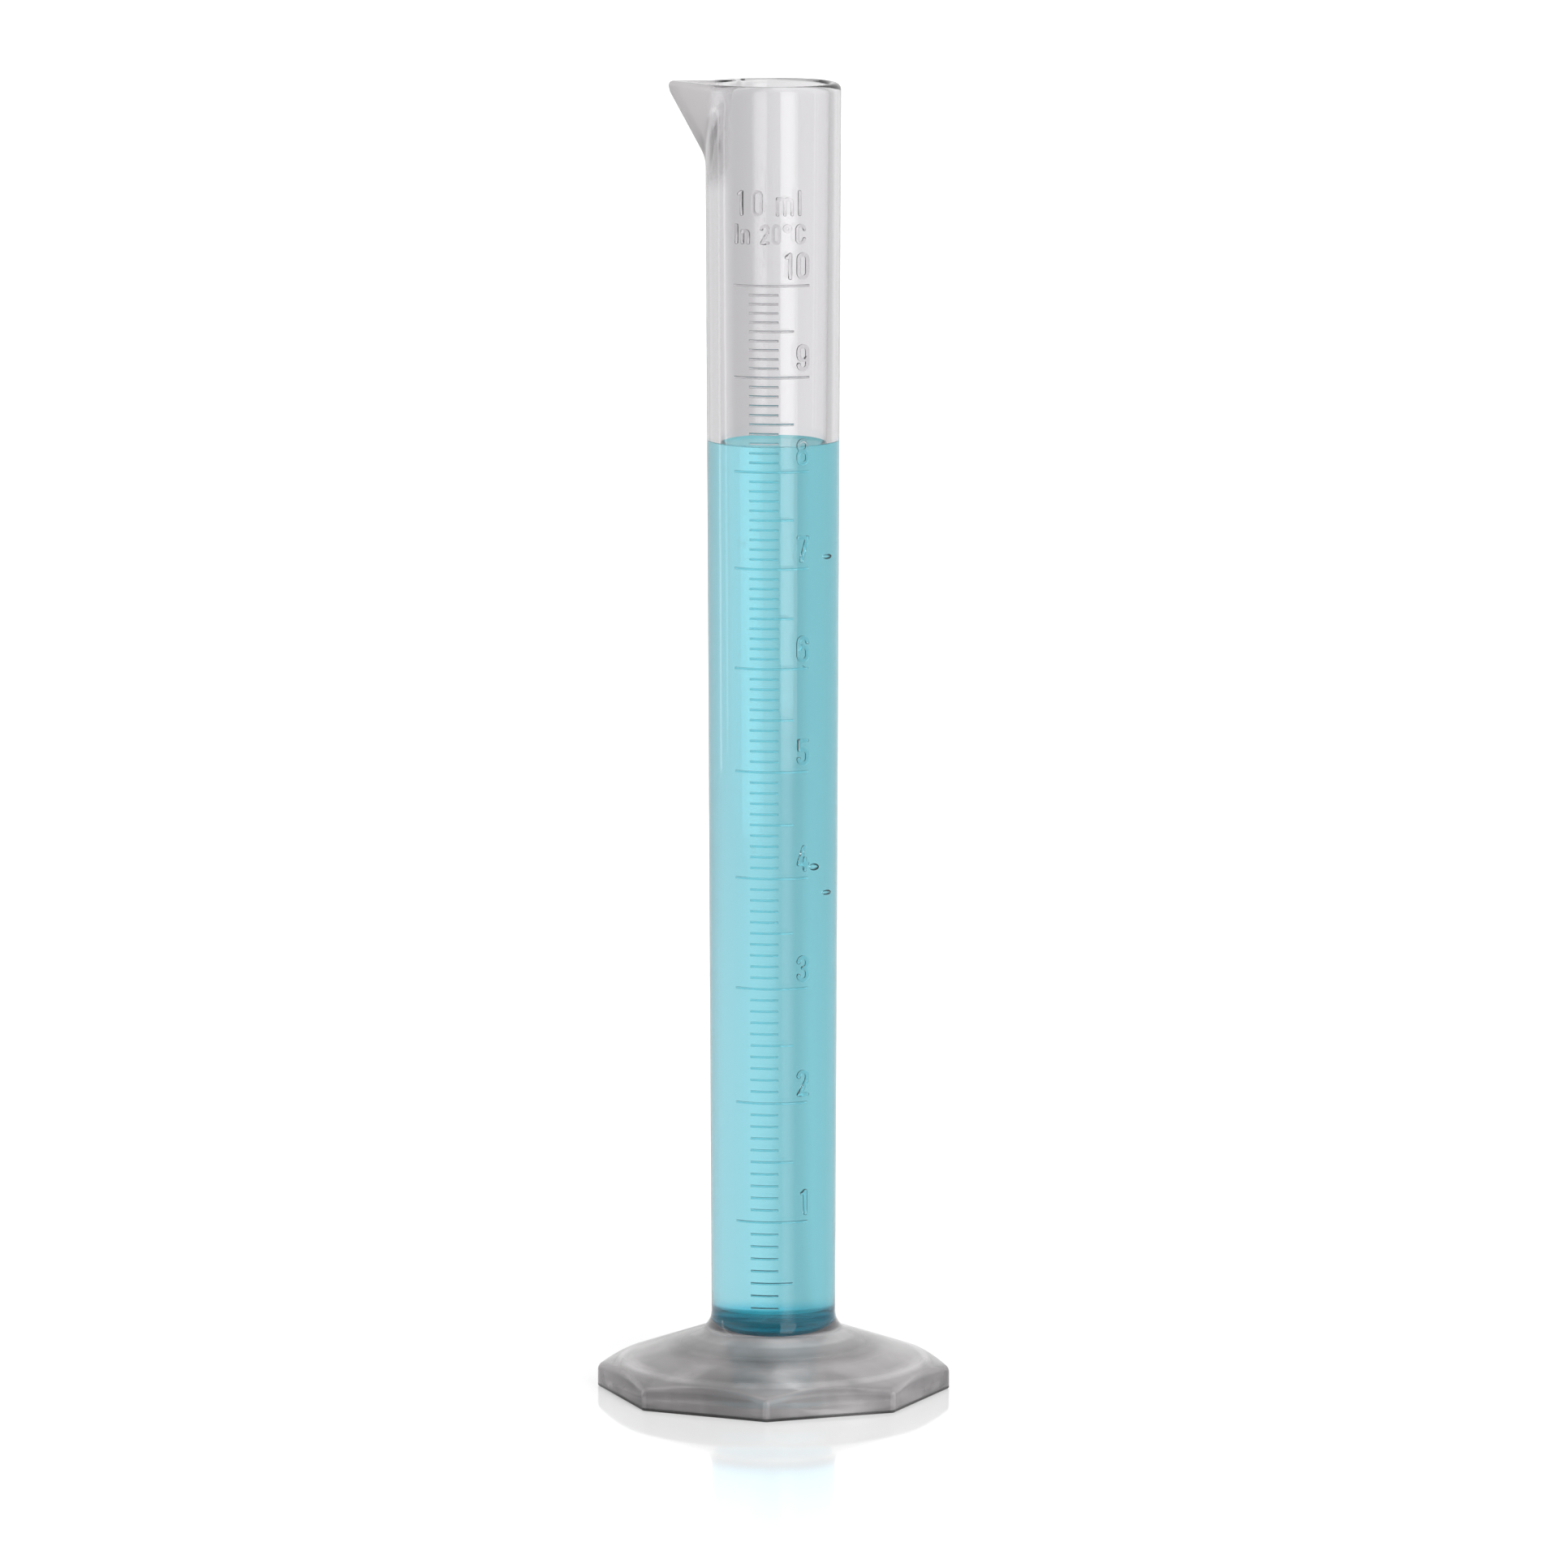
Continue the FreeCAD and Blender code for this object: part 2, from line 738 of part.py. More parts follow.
def raised_character(draw, left, foot, wide, tall, stroke):
    """A character whose stroke ends fit in wide by tall, its left side at an arc length."""
    inner_wide = wide - stroke
    inner_tall = tall - stroke
    strokes = draw(inner_wide, inner_tall)
    radius = outer_radius(str(foot))
    depth = radius + 1.0
    reach = 2.5
    bars = [stroke_run(piece, stroke, depth, reach) for pieces in strokes for piece in pieces]
    bars += stroke_ends(strokes, stroke, depth, reach)
    block = bars[0].multiFuse(bars[1:])
    block.translate(Vector(-inner_wide / 2, 0, foot + stroke / 2))
    middle_angle = math.degrees((left + wide / 2) / radius)
    block.rotate(Vector(0, 0, 0), Vector(0, 0, 1), middle_angle)
    return block.common(relief_shell(foot - 0.5, foot + tall + 0.5)).removeSplitter()


def make_word(name, letters, foot, stroke):
    """A row of characters, each given as its drawing, left side, width and height."""
    shapes = []
    for draw, left, wide, tall in letters:
        shapes += raised_character(draw, left, foot, wide, tall, stroke).Solids
    return add_feature(name, Part.makeCompound(shapes))


def make_numeral(number):
    """The number over the right end of its millilitre line."""
    foot = level_for(number) + size("numeral_lift")
    wide = size("numeral_wide")
    tall = size("numeral_tall")
    letters = []
    right = size("numeral_right")
    for digit in reversed(str(number)):
        digit_wide = wide * size("narrow_digit_share") if digit == "1" else wide
        letters.append((DIGITS[digit], right - digit_wide, digit_wide, tall))
        right -= digit_wide + size("numeral_gap")
    return make_word("numeral_%d" % number, letters, foot, size("numeral_stroke"))


def make_capacity_mark():
    """The capacity in raised characters: 10 ml."""
    tall = size("capacity_text_tall")
    letters = [
        (draw_one, -3.6, 0.85, tall),
        (draw_zero, -2.0, 1.2, tall),
        (draw_small_m, 0.55, 1.9, tall * 0.74),
        (draw_stem, 2.9, 0.42, tall),
    ]
    return make_word("capacity_mark", letters, size("capacity_text_foot"), size("text_stroke"))


def make_temperature_mark():
    """The calibration temperature in raised characters: In 20 degrees C."""
    tall = size("temperature_text_tall")
    letters = [
        (draw_stem, -3.95, 0.42, tall),
        (draw_small_n, -3.2, 1.0, tall * 0.74),
        (draw_two, -1.1, 1.0, tall),
        (draw_zero, 0.1, 1.0, tall),
        (draw_degree, 1.3, 0.95, tall),
        (draw_large_c, 2.65, 1.15, tall),
    ]
    return make_word("temperature_mark", letters, size("temperature_text_foot"), size("text_stroke"))


# ---------------------------------------------------------------- document and files


def check_document(pieces):
    """Stops if any object failed to build or any piece is empty or not a sound solid."""
    for item in doc.Objects:
        if "Invalid" in item.State or "Error" in item.State:
            raise RuntimeError("%s failed: %s" % (item.Name, item.State))
    for piece in pieces:
        shape = piece.Shape
        if shape.isNull() or not shape.isValid() or not shape.Solids:
            raise RuntimeError(piece.Label + " is not a sound solid")


def write_pieces(pieces):
    os.makedirs("parts", exist_ok=True)
    for piece in pieces:
        piece.Shape.exportStep("parts/%s.step" % piece.Label)


def main():
    fill_sheet()
    envelope = make_barrel_envelope()
    pieces = [make_barrel(), make_spout(envelope), make_foot(), make_liquid()]
    pieces += make_scale_lines()
    pieces += [make_numeral(number) for number in range(1, round(size("capacity")) + 1)]
    pieces += [make_capacity_mark(), make_temperature_mark()]
    doc.recompute()
    check_document(pieces)
    write_pieces(pieces)
    for piece in pieces:
        print("%-24s %3d solid(s) %10.3f mm3" % (piece.Label, len(piece.Shape.Solids), piece.Shape.Volume))


main()
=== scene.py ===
import math

import bmesh
import bpy
from mathutils import Matrix, Vector


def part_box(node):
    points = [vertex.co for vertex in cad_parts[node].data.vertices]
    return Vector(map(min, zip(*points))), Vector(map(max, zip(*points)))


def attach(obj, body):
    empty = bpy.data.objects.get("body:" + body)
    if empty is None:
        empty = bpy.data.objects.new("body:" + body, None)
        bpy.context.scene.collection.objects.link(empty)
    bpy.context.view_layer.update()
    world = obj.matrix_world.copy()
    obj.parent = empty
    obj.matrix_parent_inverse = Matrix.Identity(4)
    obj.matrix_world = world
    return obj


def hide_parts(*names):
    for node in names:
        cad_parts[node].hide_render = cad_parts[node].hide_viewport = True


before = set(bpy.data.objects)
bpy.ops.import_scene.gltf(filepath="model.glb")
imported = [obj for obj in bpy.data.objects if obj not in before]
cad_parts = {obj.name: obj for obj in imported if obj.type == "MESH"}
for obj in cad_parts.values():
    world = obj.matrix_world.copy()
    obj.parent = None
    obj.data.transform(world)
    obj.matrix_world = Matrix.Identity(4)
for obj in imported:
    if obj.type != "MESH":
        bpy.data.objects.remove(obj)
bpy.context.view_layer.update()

# A 10 ml graduated cylinder. Metres, Z up, origin in the middle of the foot's rest face,
# spout towards -X, scale towards -Y.

MM = 0.001

# ------------------------------------------------------------------ sizes from the frame

BARREL_LOW, BARREL_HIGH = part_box("barrel")
FOOT_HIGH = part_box("foot")[1]
LIQUID_LOW, LIQUID_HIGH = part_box("blue_liquid")
SPOUT_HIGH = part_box("pouring_spout")[1]

RIM = BARREL_HIGH[2]
BARREL_FOOT = BARREL_LOW[2]
OUTER_DRAFT = 0.59 * MM
BORE_DRAFT = 1.19 * MM
WALL_AT_RIM = 1.24 * MM
OUTER_RIM = BARREL_HIGH[1]
OUTER_BASE = OUTER_RIM - OUTER_DRAFT
BORE_RIM = OUTER_RIM - WALL_AT_RIM
BORE_BASE = BORE_RIM - BORE_DRAFT
BORE_FLOOR = LIQUID_LOW[2]
BORE_CORNER = 1.6 * MM
RIM_OUTER_ROUND = 0.75 * MM
RIM_INNER_ROUND = 0.3 * MM

FOOT_CORNER_RADIUS = FOOT_HIGH[0]
FOOT_SLOPE = math.radians(19.5)
FOOT_EDGE_HEIGHT = 2.45 * MM
FOOT_EDGE_ROUND = 0.9 * MM
FOOT_BOTTOM_ROUND = 0.2 * MM
FOOT_VERTEX_BLEND = 0.12 * MM
NECK_FILLET = 2.3 * MM
RECESS_RADIUS = 16.2 * MM
RECESS_WALL_HEIGHT = 1.3 * MM
RECESS_ROUND = 0.5 * MM
RECESS_ROUND_SQUASH = 0.8
RECESS_EDGE_BREAK = 0.12 * MM

SPOUT_REACH = 11.45 * MM
SPOUT_DROP = 7.9 * MM
SPOUT_DEPTH = 9.5 * MM
SPOUT_ANGLES = (math.radians(36.0), math.radians(46.0))
SPOUT_NOSE = 1.0 * MM
CHANNEL_REACH = 10.0 * MM
CHANNEL_ANGLES = (math.radians(34.0), math.radians(44.0))
CHANNEL_NOSE = 0.3 * MM
LIP_RISE = SPOUT_HIGH[2] - RIM
LIP_THINNING = 0.25 * MM
LIP_LAND = 0.6 * MM
KEEL_SLOPE = (SPOUT_REACH - OUTER_RIM) / SPOUT_DROP
BEAK_FALL_OFF = 6 * MM
JUNCTION_BLEND = 0.5 * MM

# How far apart the moulding's rings and turns are.
WALL_STEP = 2.2 * MM
SPOUT_STEP = 0.35 * MM
TURN_STEP = 1.5
KEEL_TURN_STEP = 0.5
SHARP_ANGLE = 40.0

LIQUID_TOP = LIQUID_HIGH[2]
MENISCUS_RISE = 0.2 * MM
MENISCUS_WIDTH = 0.8 * MM
MENISCUS_CURVE = 2.4
WALL_OVERLAP = 0.03 * MM

RELIEF = 0.16 * MM
MARK_ROUND = 0.11 * MM
MARK_SINK = 0.02 * MM
MARK_SHARP_ANGLE = 35.0
MARK_CREST_ANGLE = math.radians(50)
WELD_DISTANCE = 0.002 * MM

# How far a bubble's middle is from the wall, as a share of its radius.
BUBBLE_SINK = 0.75
# Height, offset to the right, radius and squash of each air bubble on the bore's front wall.
BUBBLES = ((90.0 * MM, 4.9 * MM, 0.5 * MM, 0.6), (57.0 * MM, 3.85 * MM, 0.55 * MM, 0.75),
           (54.0 * MM, 4.7 * MM, 0.5 * MM, 0.6), (78.5 * MM, 3.0 * MM, 0.22 * MM, 0.9))

RAISED_NODES = ["millilitre_lines", "half_millilitre_lines", "tenth_millilitre_lines"]
RAISED_NODES += ["numeral_%d" % number for number in range(1, 11)]
RAISED_NODES += ["capacity_mark", "temperature_mark"]

# ------------------------------------------------------------------ colours and tones

CLEAR = (1.0, 1.0, 1.0, 1.0)
CLEAR_GREY = (0.96, 0.955, 0.965, 1.0)
SPOUT_GREY = (0.92, 0.9, 0.91, 1.0)
DARK_CLOUD = (0.44, 0.43, 0.435, 1.0)
LIGHT_CLOUD = (0.85, 0.825, 0.83, 1.0)
PLASTIC_BODY = (0.5, 0.48, 0.5, 1.0)
PLASTIC_DENSITY = 60.0
# Mark colours: a plain top, and sides painted darker as painted shade; teal over the liquid, grey over
# air.
WET_MARK_TOP = (0.66, 0.93, 0.97, 1.0)
WET_MARK_SHADED_SIDE = (0.1, 0.45, 0.52, 1.0)
DRY_MARK_TOP = (0.9, 0.89, 0.9, 1.0)
DRY_MARK_SHADED_SIDE = (0.3, 0.29, 0.3, 1.0)
BUBBLE_FILM = (0.85, 0.97, 0.98, 1.0)
# The liquid's dye, painted paler at the left as painted light, and plain at the right.
PALER_DYE_AT_LEFT = (0.43, 0.915, 1.0, 1.0)
RIGHT_DYE = (0.32, 0.905, 1.0, 1.0)
DEEP_TEAL = (0.0003, 0.68, 1.0, 1.0)
SURFACE_DYE = (0.28, 0.88, 0.96, 1.0)
PALE_SURFACE_DYE = (0.33, 0.93, 1.0, 1.0)
TABLE_WHITE = (0.5, 0.5, 0.5, 1.0)
TABLE_UNDER_PLASTIC = (0.25, 0.248, 0.25, 1.0)

PLASTIC_IOR = 1.5
WATER_IOR = 1.333
BUBBLE_IOR = 0.75

# The share of light that goes straight through: in the wall, and where the plastic is thick.
CLEAR_WALL = 0.995
CLEAR_FOOT = 0.84
CLEAR_FOOT_RIM = 0.6
CLEAR_NECK = 0.37
CLEAR_SPOUT = 0.38
CLEAR_MARK = 0.97
CLEAR_DEEP_WATER = 0.85
CLEAR_SURFACE = 0.65

# Roughness of the plastic from place to place, and of the foot's milky part.
PLASTIC_HAZE = (0.02, 0.06)
FOOT_HAZE = (0.02, 0.14)

# Noise scales, per metre.
CLOUD_SCALE = 130.0
RIPPLE_SCALE = 160.0
SWIRL_SCALE = 220.0
HAZE_SCALE = 420.0
MARK_HAZE_SCALE = 700.0
# The next scale sets the patches in the painted shade on the marks' sides.
SIDE_SHADE_PATCH_SCALE = 900.0
FILM_SCALE = 2500.0

# Places between which the plastic turns milky: by height, by distance from the axis, or along X.
MILKY_FOOT = (7.0 * MM, 6.45 * MM)
MILKY_NECK = (13.0 * MM, 9.0 * MM)
MILKY_RIM = (14.8 * MM, 16.2 * MM)
MILKY_SPOUT = (-OUTER_RIM + 1.9 * MM, -OUTER_RIM)
SPOUT_ZONE = (RIM - 12 * MM, RIM - 8 * MM)

# Where each of the foot's painted tones of light and shade rises and falls, by distance from the axis or
# by height: painted shade over the neck and beyond the hollow, painted highlights by the hollow's edge
# and on the corners, and a painted contact shadow along the lower edge.
PAINTED_NECK_SHADE_RING = ((8.5 * MM, 9.2 * MM), (10.3 * MM, 11.4 * MM))
PAINTED_HOLLOW_HIGHLIGHT = ((14.9 * MM, 15.4 * MM), (16.1 * MM, 16.7 * MM))
PAINTED_HOLLOW_HIGHLIGHT_ASIDE = (10 * MM, 14 * MM)
PAINTED_OUTER_SHADE_RADII = (16.5 * MM, 17.0 * MM)
PAINTED_CORNER_HIGHLIGHT = (FOOT_CORNER_RADIUS - 0.2 * MM, FOOT_CORNER_RADIUS - 0.1 * MM)
PAINTED_CONTACT_SHADOW_HEIGHTS = (0.45 * MM, 0.25 * MM)
# How strongly each painted tone of light and shade covers the foot's clouds, and how light it is.
FOOT_PAINTED_LIGHT = {"painted_neck_shade": (0.6, 0.38), "painted_hollow_light": (0.8, 1.0), "painted_outer_shade": (0.45, 0.36),
              "corners": (0.3, 1.0), "painted_contact_shadow": (0.9, 0.03)}

# Painted shade on a mark's sides: where a side starts, by how far its face leans from the wall, and how
# dark the painted shade is over the liquid.
MARK_LEAN = (0.97, 0.6)
WET_SIDE_SHADE_SHARE = 0.15
OVER_AIR = (LIQUID_TOP - 1 * MM, LIQUID_TOP + 1 * MM)

# Where the deep teal of the liquid's bottom ends, and where the liquid's painted paler left side gives
# way to the plain dye at the right.
DEEP_TEAL_FADE = (BORE_FLOOR + 2.2 * MM, BORE_FLOOR + 3.9 * MM)
PALE_LEFT_FADE = (-4.5 * MM, 3.0 * MM)

# ------------------------------------------------------------------ the studio

# Light that the table sends into the plastic, by azimuth: 0 is the scale's side, 90 is +X.
STUDIO_SIDES = ((-89.0, 0.35), (-65.0, 0.15), (-40.0, 0.15), (-12.0, 0.3), (14.0, 0.3), (24.0, 1.0),
                (33.0, 1.0), (43.0, 0.3), (60.0, 0.3), (110.0, 0.32), (140.0, 0.52), (158.0, 0.78),
                (170.0, 0.78), (180.0, 0.76), (187.0, 0.52), (191.0, 0.5), (199.0, 0.65),
                (212.0, 0.62), (228.0, 0.62), (250.0, 0.45), (269.0, 0.35))
TABLE_SIZE = 12.0
TABLE_ROUGHNESS = 0.06
TABLE_IOR = 1.4
# The table's own glow near the object and away from it, and the distances where it changes.
TABLE_GLOW = (0.44, 0.65)
TABLE_GLOW_FADE = (0.022, 0.085)
NEAR_TABLE_GAIN = 1.07
NEAR_TABLE_FADE = (0.5, 0.15)

# How light the studio is overhead and behind the viewer, and the directions where that fades.
OVERHEAD_LIGHT = 0.6
OVERHEAD_FADE = (0.25, 0.8)
FRONT_LIGHT = 0.3
FRONT_FADE = (-0.95, -0.35)

LAMP_DISTANCE = 0.42
LAMP_FOOT = 0.005
LAMP_HEAD = 0.5
SIDE_LIGHT_AZIMUTH = -104.0
SIDE_LIGHT_WIDTH = 0.04
SIDE_LIGHT_BRIGHTNESS = 1.5
WINDOW_AZIMUTH = 30.0
WINDOW_WIDTH = 0.22
WINDOW_BRIGHTNESS = 1.6

EYE_AZIMUTH = math.radians(2.25)
EYE_TILT = math.radians(8.25)
EYE_DISTANCE = 8.014 * RIM
EYE_HEIGHT = 1.6286 * RIM
EYE_ASIDE = 0.0081 * RIM
LENS = 244.8
SENSOR_WIDTH = 36.0
LIGHT_BOUNCES = 32


# ------------------------------------------------------------------ outlines


def drafted(base, rim, height):
    """A wall's radius at a height, between its radius at the table and its radius at the rim."""
    return base + (rim - base) * height / RIM


def outer_radius(height):
    return drafted(OUTER_BASE, OUTER_RIM, height)


def bore_radius(height):
    return drafted(BORE_BASE, BORE_RIM, height)


def soft_max(first, second, blend):
    """The larger of two lengths, with a rounded hand-over where they are close."""
    closeness = max(blend - abs(first - second), 0.0) / blend
    return max(first, second) + closeness * closeness * blend / 4


def beak_radius(turn, keel, half_angle, nose):
    """How far a beak's side is from the axis, a turn away from the way it points."""
    turn = abs(turn)
    sharp = keel + nose * (1 / math.sin(half_angle) - 1)
    centre = keel - nose
    touch = math.atan2(nose * math.cos(half_angle), centre + nose * math.sin(half_angle))
    if turn <= touch:
        return centre * math.cos(turn) + math.sqrt(nose ** 2 - (centre * math.sin(turn)) ** 2)
    square = math.pi / 2 - half_angle
    nearest = sharp * math.sin(half_angle)
    if turn <= square:
        return nearest / math.sin(half_angle + turn)
    return nearest - (turn - square) * BEAK_FALL_OFF


def with_beak(radius, turn, height, reach, angles, nose):
    """A round wall's radius where a beak joins it near the rim."""
    depth = RIM - height
    if depth > SPOUT_DEPTH:
        return radius
    share = max(depth, 0.0) / SPOUT_DEPTH
    half_angle = angles[0] + (angles[1] - angles[0]) * share
    keel = reach - depth * KEEL_SLOPE
    beak = beak_radius(turn, keel, half_angle, nose)
    return soft_max(radius, beak, JUNCTION_BLEND)


def outside(turn, height):
    return with_beak(outer_radius(height), turn, height, SPOUT_REACH, SPOUT_ANGLES, SPOUT_NOSE)


def inside(turn, height):
    return with_beak(bore_radius(height), turn, height, CHANNEL_REACH, CHANNEL_ANGLES, CHANNEL_NOSE)


def lip_height(turn, radius):
    """The rim is level, and rises a little along the spout towards its tip."""
    along = max(radius * math.cos(turn) - OUTER_RIM, 0.0)
    return RIM + LIP_RISE * along / (SPOUT_REACH - OUTER_RIM)


def lip_share(radius):
    """0 on the plain rim, 1 at the spout's tip."""
    return min(max((radius - OUTER_RIM) / (SPOUT_REACH - OUTER_RIM), 0.0), 1.0)


def octagon_radius(turn):
    """The foot's side, with corners on the axes and half way between them."""
    side = math.radians(45.0)
    apothem = FOOT_CORNER_RADIUS * math.cos(side / 2)
    from_corner = (turn + side / 2) % side - side / 2
    near_side = apothem / math.cos(side / 2 - abs(from_corner))
    far_side = apothem / math.cos(side / 2 + abs(from_corner))
    return -soft_max(-near_side, -far_side, FOOT_VERTEX_BLEND)


def cover_height(radius):
    """The height of the foot's sloped top."""
    return FOOT_EDGE_HEIGHT + (FOOT_CORNER_RADIUS - radius) * math.tan(FOOT_SLOPE)


# ------------------------------------------------------------------ rings of the moulding

# A ring is a function of the turn from the spout that gives a radius and a height.


def arc_steps(start, end, count):
    """Angles in degrees from start to end as radians, both ends included."""
    return [math.radians(start + (end - start) * step / count) for step in range(count + 1)]


def plain_ring(radius, height):
    return lambda turn: (radius, height)


def recess_rings():
    """The hollow underside, from its middle out to the rest face."""
    rings = []
    ceiling = BARREL_FOOT
    slope = math.tan(FOOT_SLOPE)
    level_end = RECESS_RADIUS - (ceiling - RECESS_WALL_HEIGHT) / slope
    for share in (0.25, 0.5, 0.75, 0.93):
        rings.append(plain_ring(level_end * share, ceiling))
    for share in (0.04, 0.2, 0.4, 0.6, 0.8, 0.9):
        radius = level_end + (RECESS_RADIUS - level_end) * share
        rings.append(plain_ring(radius, ceiling - (radius - level_end) * slope))
    round_height = RECESS_ROUND * RECESS_ROUND_SQUASH
    centre_height = RECESS_WALL_HEIGHT - RECESS_ROUND + round_height
    for angle in arc_steps(60.0, 0.0, 4):
        radius = RECESS_RADIUS - RECESS_ROUND * (1 - math.cos(angle))
        rings.append(plain_ring(radius, centre_height - round_height * (1 - math.sin(angle))))
    rings.append(plain_ring(RECESS_RADIUS, RECESS_EDGE_BREAK))
    rings.append(plain_ring(RECESS_RADIUS + RECESS_EDGE_BREAK, 0.0))
    return rings


def foot_rings():
    """The rest face's outer edge, the octagon's wall, its rounded edge and the sloped top."""
    rings = []
    for angle in arc_steps(-90.0, 0.0, 3):
        def bottom(turn, angle=angle):
            wall = octagon_radius(turn)
            return (wall - FOOT_BOTTOM_ROUND * (1 - math.cos(angle)),
                    FOOT_BOTTOM_ROUND * (1 + math.sin(angle)))
        rings.append(bottom)
    for angle in arc_steps(0.0, 90.0 - math.degrees(FOOT_SLOPE), 7):
        def edge(turn, angle=angle):
            centre = octagon_radius(turn) - FOOT_EDGE_ROUND
            level = cover_height(centre) - FOOT_EDGE_ROUND / math.cos(FOOT_SLOPE)
            return (centre + FOOT_EDGE_ROUND * math.cos(angle), level + FOOT_EDGE_ROUND * math.sin(angle))
        rings.append(edge)
    neck = outer_radius(FOOT_HIGH[2])
    fillet_centre = neck + NECK_FILLET
    cover_start = fillet_centre - NECK_FILLET * math.sin(FOOT_SLOPE)
    for share in (0.14, 0.3, 0.46, 0.62, 0.78, 0.92):
        def cover(turn, share=share):
            edge_end = octagon_radius(turn) - FOOT_EDGE_ROUND * (1 - math.sin(FOOT_SLOPE))
            radius = edge_end + (cover_start - edge_end) * share
            return (radius, cover_height(radius))
        rings.append(cover)
    fillet_level = cover_height(fillet_centre) + NECK_FILLET / math.cos(FOOT_SLOPE)
    for angle in arc_steps(270.0 - math.degrees(FOOT_SLOPE), 180.0, 10):
        rings.append(plain_ring(fillet_centre + NECK_FILLET * math.cos(angle),
                                fillet_level + NECK_FILLET * math.sin(angle)))
    return rings, fillet_level


def levels(low, high, step):
    """Heights above low up to high, evenly spaced, about a step apart."""
    count = max(1, round((high - low) / step))
    return [low + (high - low) * index / count for index in range(1, count + 1)]


def wall_ring(shape, height):
    return lambda turn: (shape(turn, height), height)


def tube_rings(start):
    """The outer wall from the neck to just under the rim."""
    rings = []
    spout_foot = RIM - SPOUT_DEPTH
    for height in levels(start, spout_foot, WALL_STEP):
        rings.append(wall_ring(outside, height))
    for height in levels(spout_foot, RIM - 1.3 * RIM_OUTER_ROUND, SPOUT_STEP):
        rings.append(wall_ring(outside, height))
    return rings


def rim_rings():
    """Over the rim and the lip: outer rounding, a narrow land, inner rounding."""
    rings = []
    for angle in arc_steps(0.0, 90.0, 8):
        def outer(turn, angle=angle):
            wall = outside(turn, RIM - RIM_OUTER_ROUND)
            top = lip_height(turn, wall)
            rounding = RIM_OUTER_ROUND - LIP_THINNING * lip_share(wall)
            return (wall - rounding * (1 - math.cos(angle)), top - rounding * (1 - math.sin(angle)))
        rings.append(outer)
    for angle in arc_steps(90.0, 0.0, 5):
        def inner(turn, angle=angle):
            wall = inside(turn, RIM - RIM_INNER_ROUND)
            top = lip_height(turn, outside(turn, RIM - RIM_OUTER_ROUND) - LIP_LAND)
            return (wall + RIM_INNER_ROUND * (1 - math.cos(angle)),
                    top - RIM_INNER_ROUND * (1 - math.sin(angle)))
        rings.append(inner)
    return rings


def bore_rings():
    """The inner wall, down to the floor and over it."""
    rings = []
    spout_foot = RIM - SPOUT_DEPTH
    for height in reversed(levels(spout_foot, RIM - 2 * RIM_INNER_ROUND, SPOUT_STEP)):
        rings.append(wall_ring(inside, height))
    for height in reversed(levels(BORE_FLOOR + BORE_CORNER, spout_foot, WALL_STEP)):
        rings.append(wall_ring(inside, height))
    centre = bore_radius(BORE_FLOOR + BORE_CORNER) - BORE_CORNER
    for angle in arc_steps(0.0, -90.0, 7):
        rings.append(plain_ring(centre + BORE_CORNER * math.cos(angle),
                                BORE_FLOOR + BORE_CORNER * (1 + math.sin(angle))))
    for share in (0.8, 0.5, 0.2):
        rings.append(plain_ring(centre * share, BORE_FLOOR))
    return rings


# ------------------------------------------------------------------ meshes


def turn_stations():
    """Directions round the axis, as turns from the spout: closer at the keel and at the corners."""
    marks = {step * TURN_STEP for step in range(240)}
    marks |= {(step * KEEL_TURN_STEP) % 360 for step in range(-24, 25)}
    for corner in range(8):
        for offset in (-0.8, -0.4, -0.2, 0.2, 0.4, 0.8):
            marks.add((45.0 * corner + offset) % 360)
    return [math.radians(mark) for mark in sorted({round(mark, 3) for mark in marks})]


def place(turn, radius, height):
    """A point from its turn away from the spout, which points along -X."""
    return Vector((-radius * math.cos(turn), -radius * math.sin(turn), height))


def signed(turn):
    return (turn + math.pi) % (2 * math.pi) - math.pi


def turned_mesh(name, rings, stations):
    """A closed surface from rings, with a middle point at each end."""
    points = []
    for ring in rings:
        for turn in stations:
            radius, height = ring(signed(turn))
            points.append(place(turn, radius, height))
    count = len(stations)
    faces = []
    for lower in range(0, (len(rings) - 1) * count, count):
        upper = lower + count
        for step in range(count):
            following = (step + 1) % count
            faces.append((lower + step, upper + step, upper + following, lower + following))
    first = len(points)
    points.append(Vector((0, 0, rings[0](0.0)[1])))
    points.append(Vector((0, 0, rings[-1](0.0)[1])))
    last_ring = (len(rings) - 1) * count
    for step in range(count):
        following = (step + 1) % count
        faces.append((first, step, following))
        faces.append((last_ring + following, last_ring + step, first + 1))
    mesh = bpy.data.meshes.new(name)
    mesh.from_pydata(points, [], faces)
    mesh.validate()
    mesh.update()
    return mesh


def add_object(name, mesh, material):
    piece = bpy.data.objects.new(name, mesh)
    bpy.context.scene.collection.objects.link(piece)
    mesh.materials.append(material)
    mesh.shade_smooth()
    return piece


def face_outward(piece):
    """Turns the faces so that a closed piece's normals point out of it."""
    mesh = piece.data
    volume = 0.0
    for face in mesh.polygons:
        corners = [mesh.vertices[index].co for index in face.vertices]
        for middle, last in zip(corners[1:], corners[2:]):
            volume += corners[0].dot(middle.cross(last))
    if volume < 0:
        mesh.flip_normals()


def sharpen(piece, degrees):
    """Keeps edges crisp where two faces meet at more than this angle."""
    piece.data.set_sharp_from_angle(angle=math.radians(degrees))


def make_moulding(plastic):
    """Barrel, spout and foot as the one seamless moulding that they look like."""
    lower, neck_level = foot_rings()
    rings = recess_rings() + lower + tube_rings(neck_level) + rim_rings() + bore_rings()
    mesh = turned_mesh("moulded_body", rings, turn_stations())
    piece = add_object("moulded_body", mesh, plastic)
    face_outward(piece)
    sharpen(piece, SHARP_ANGLE)
    return piece


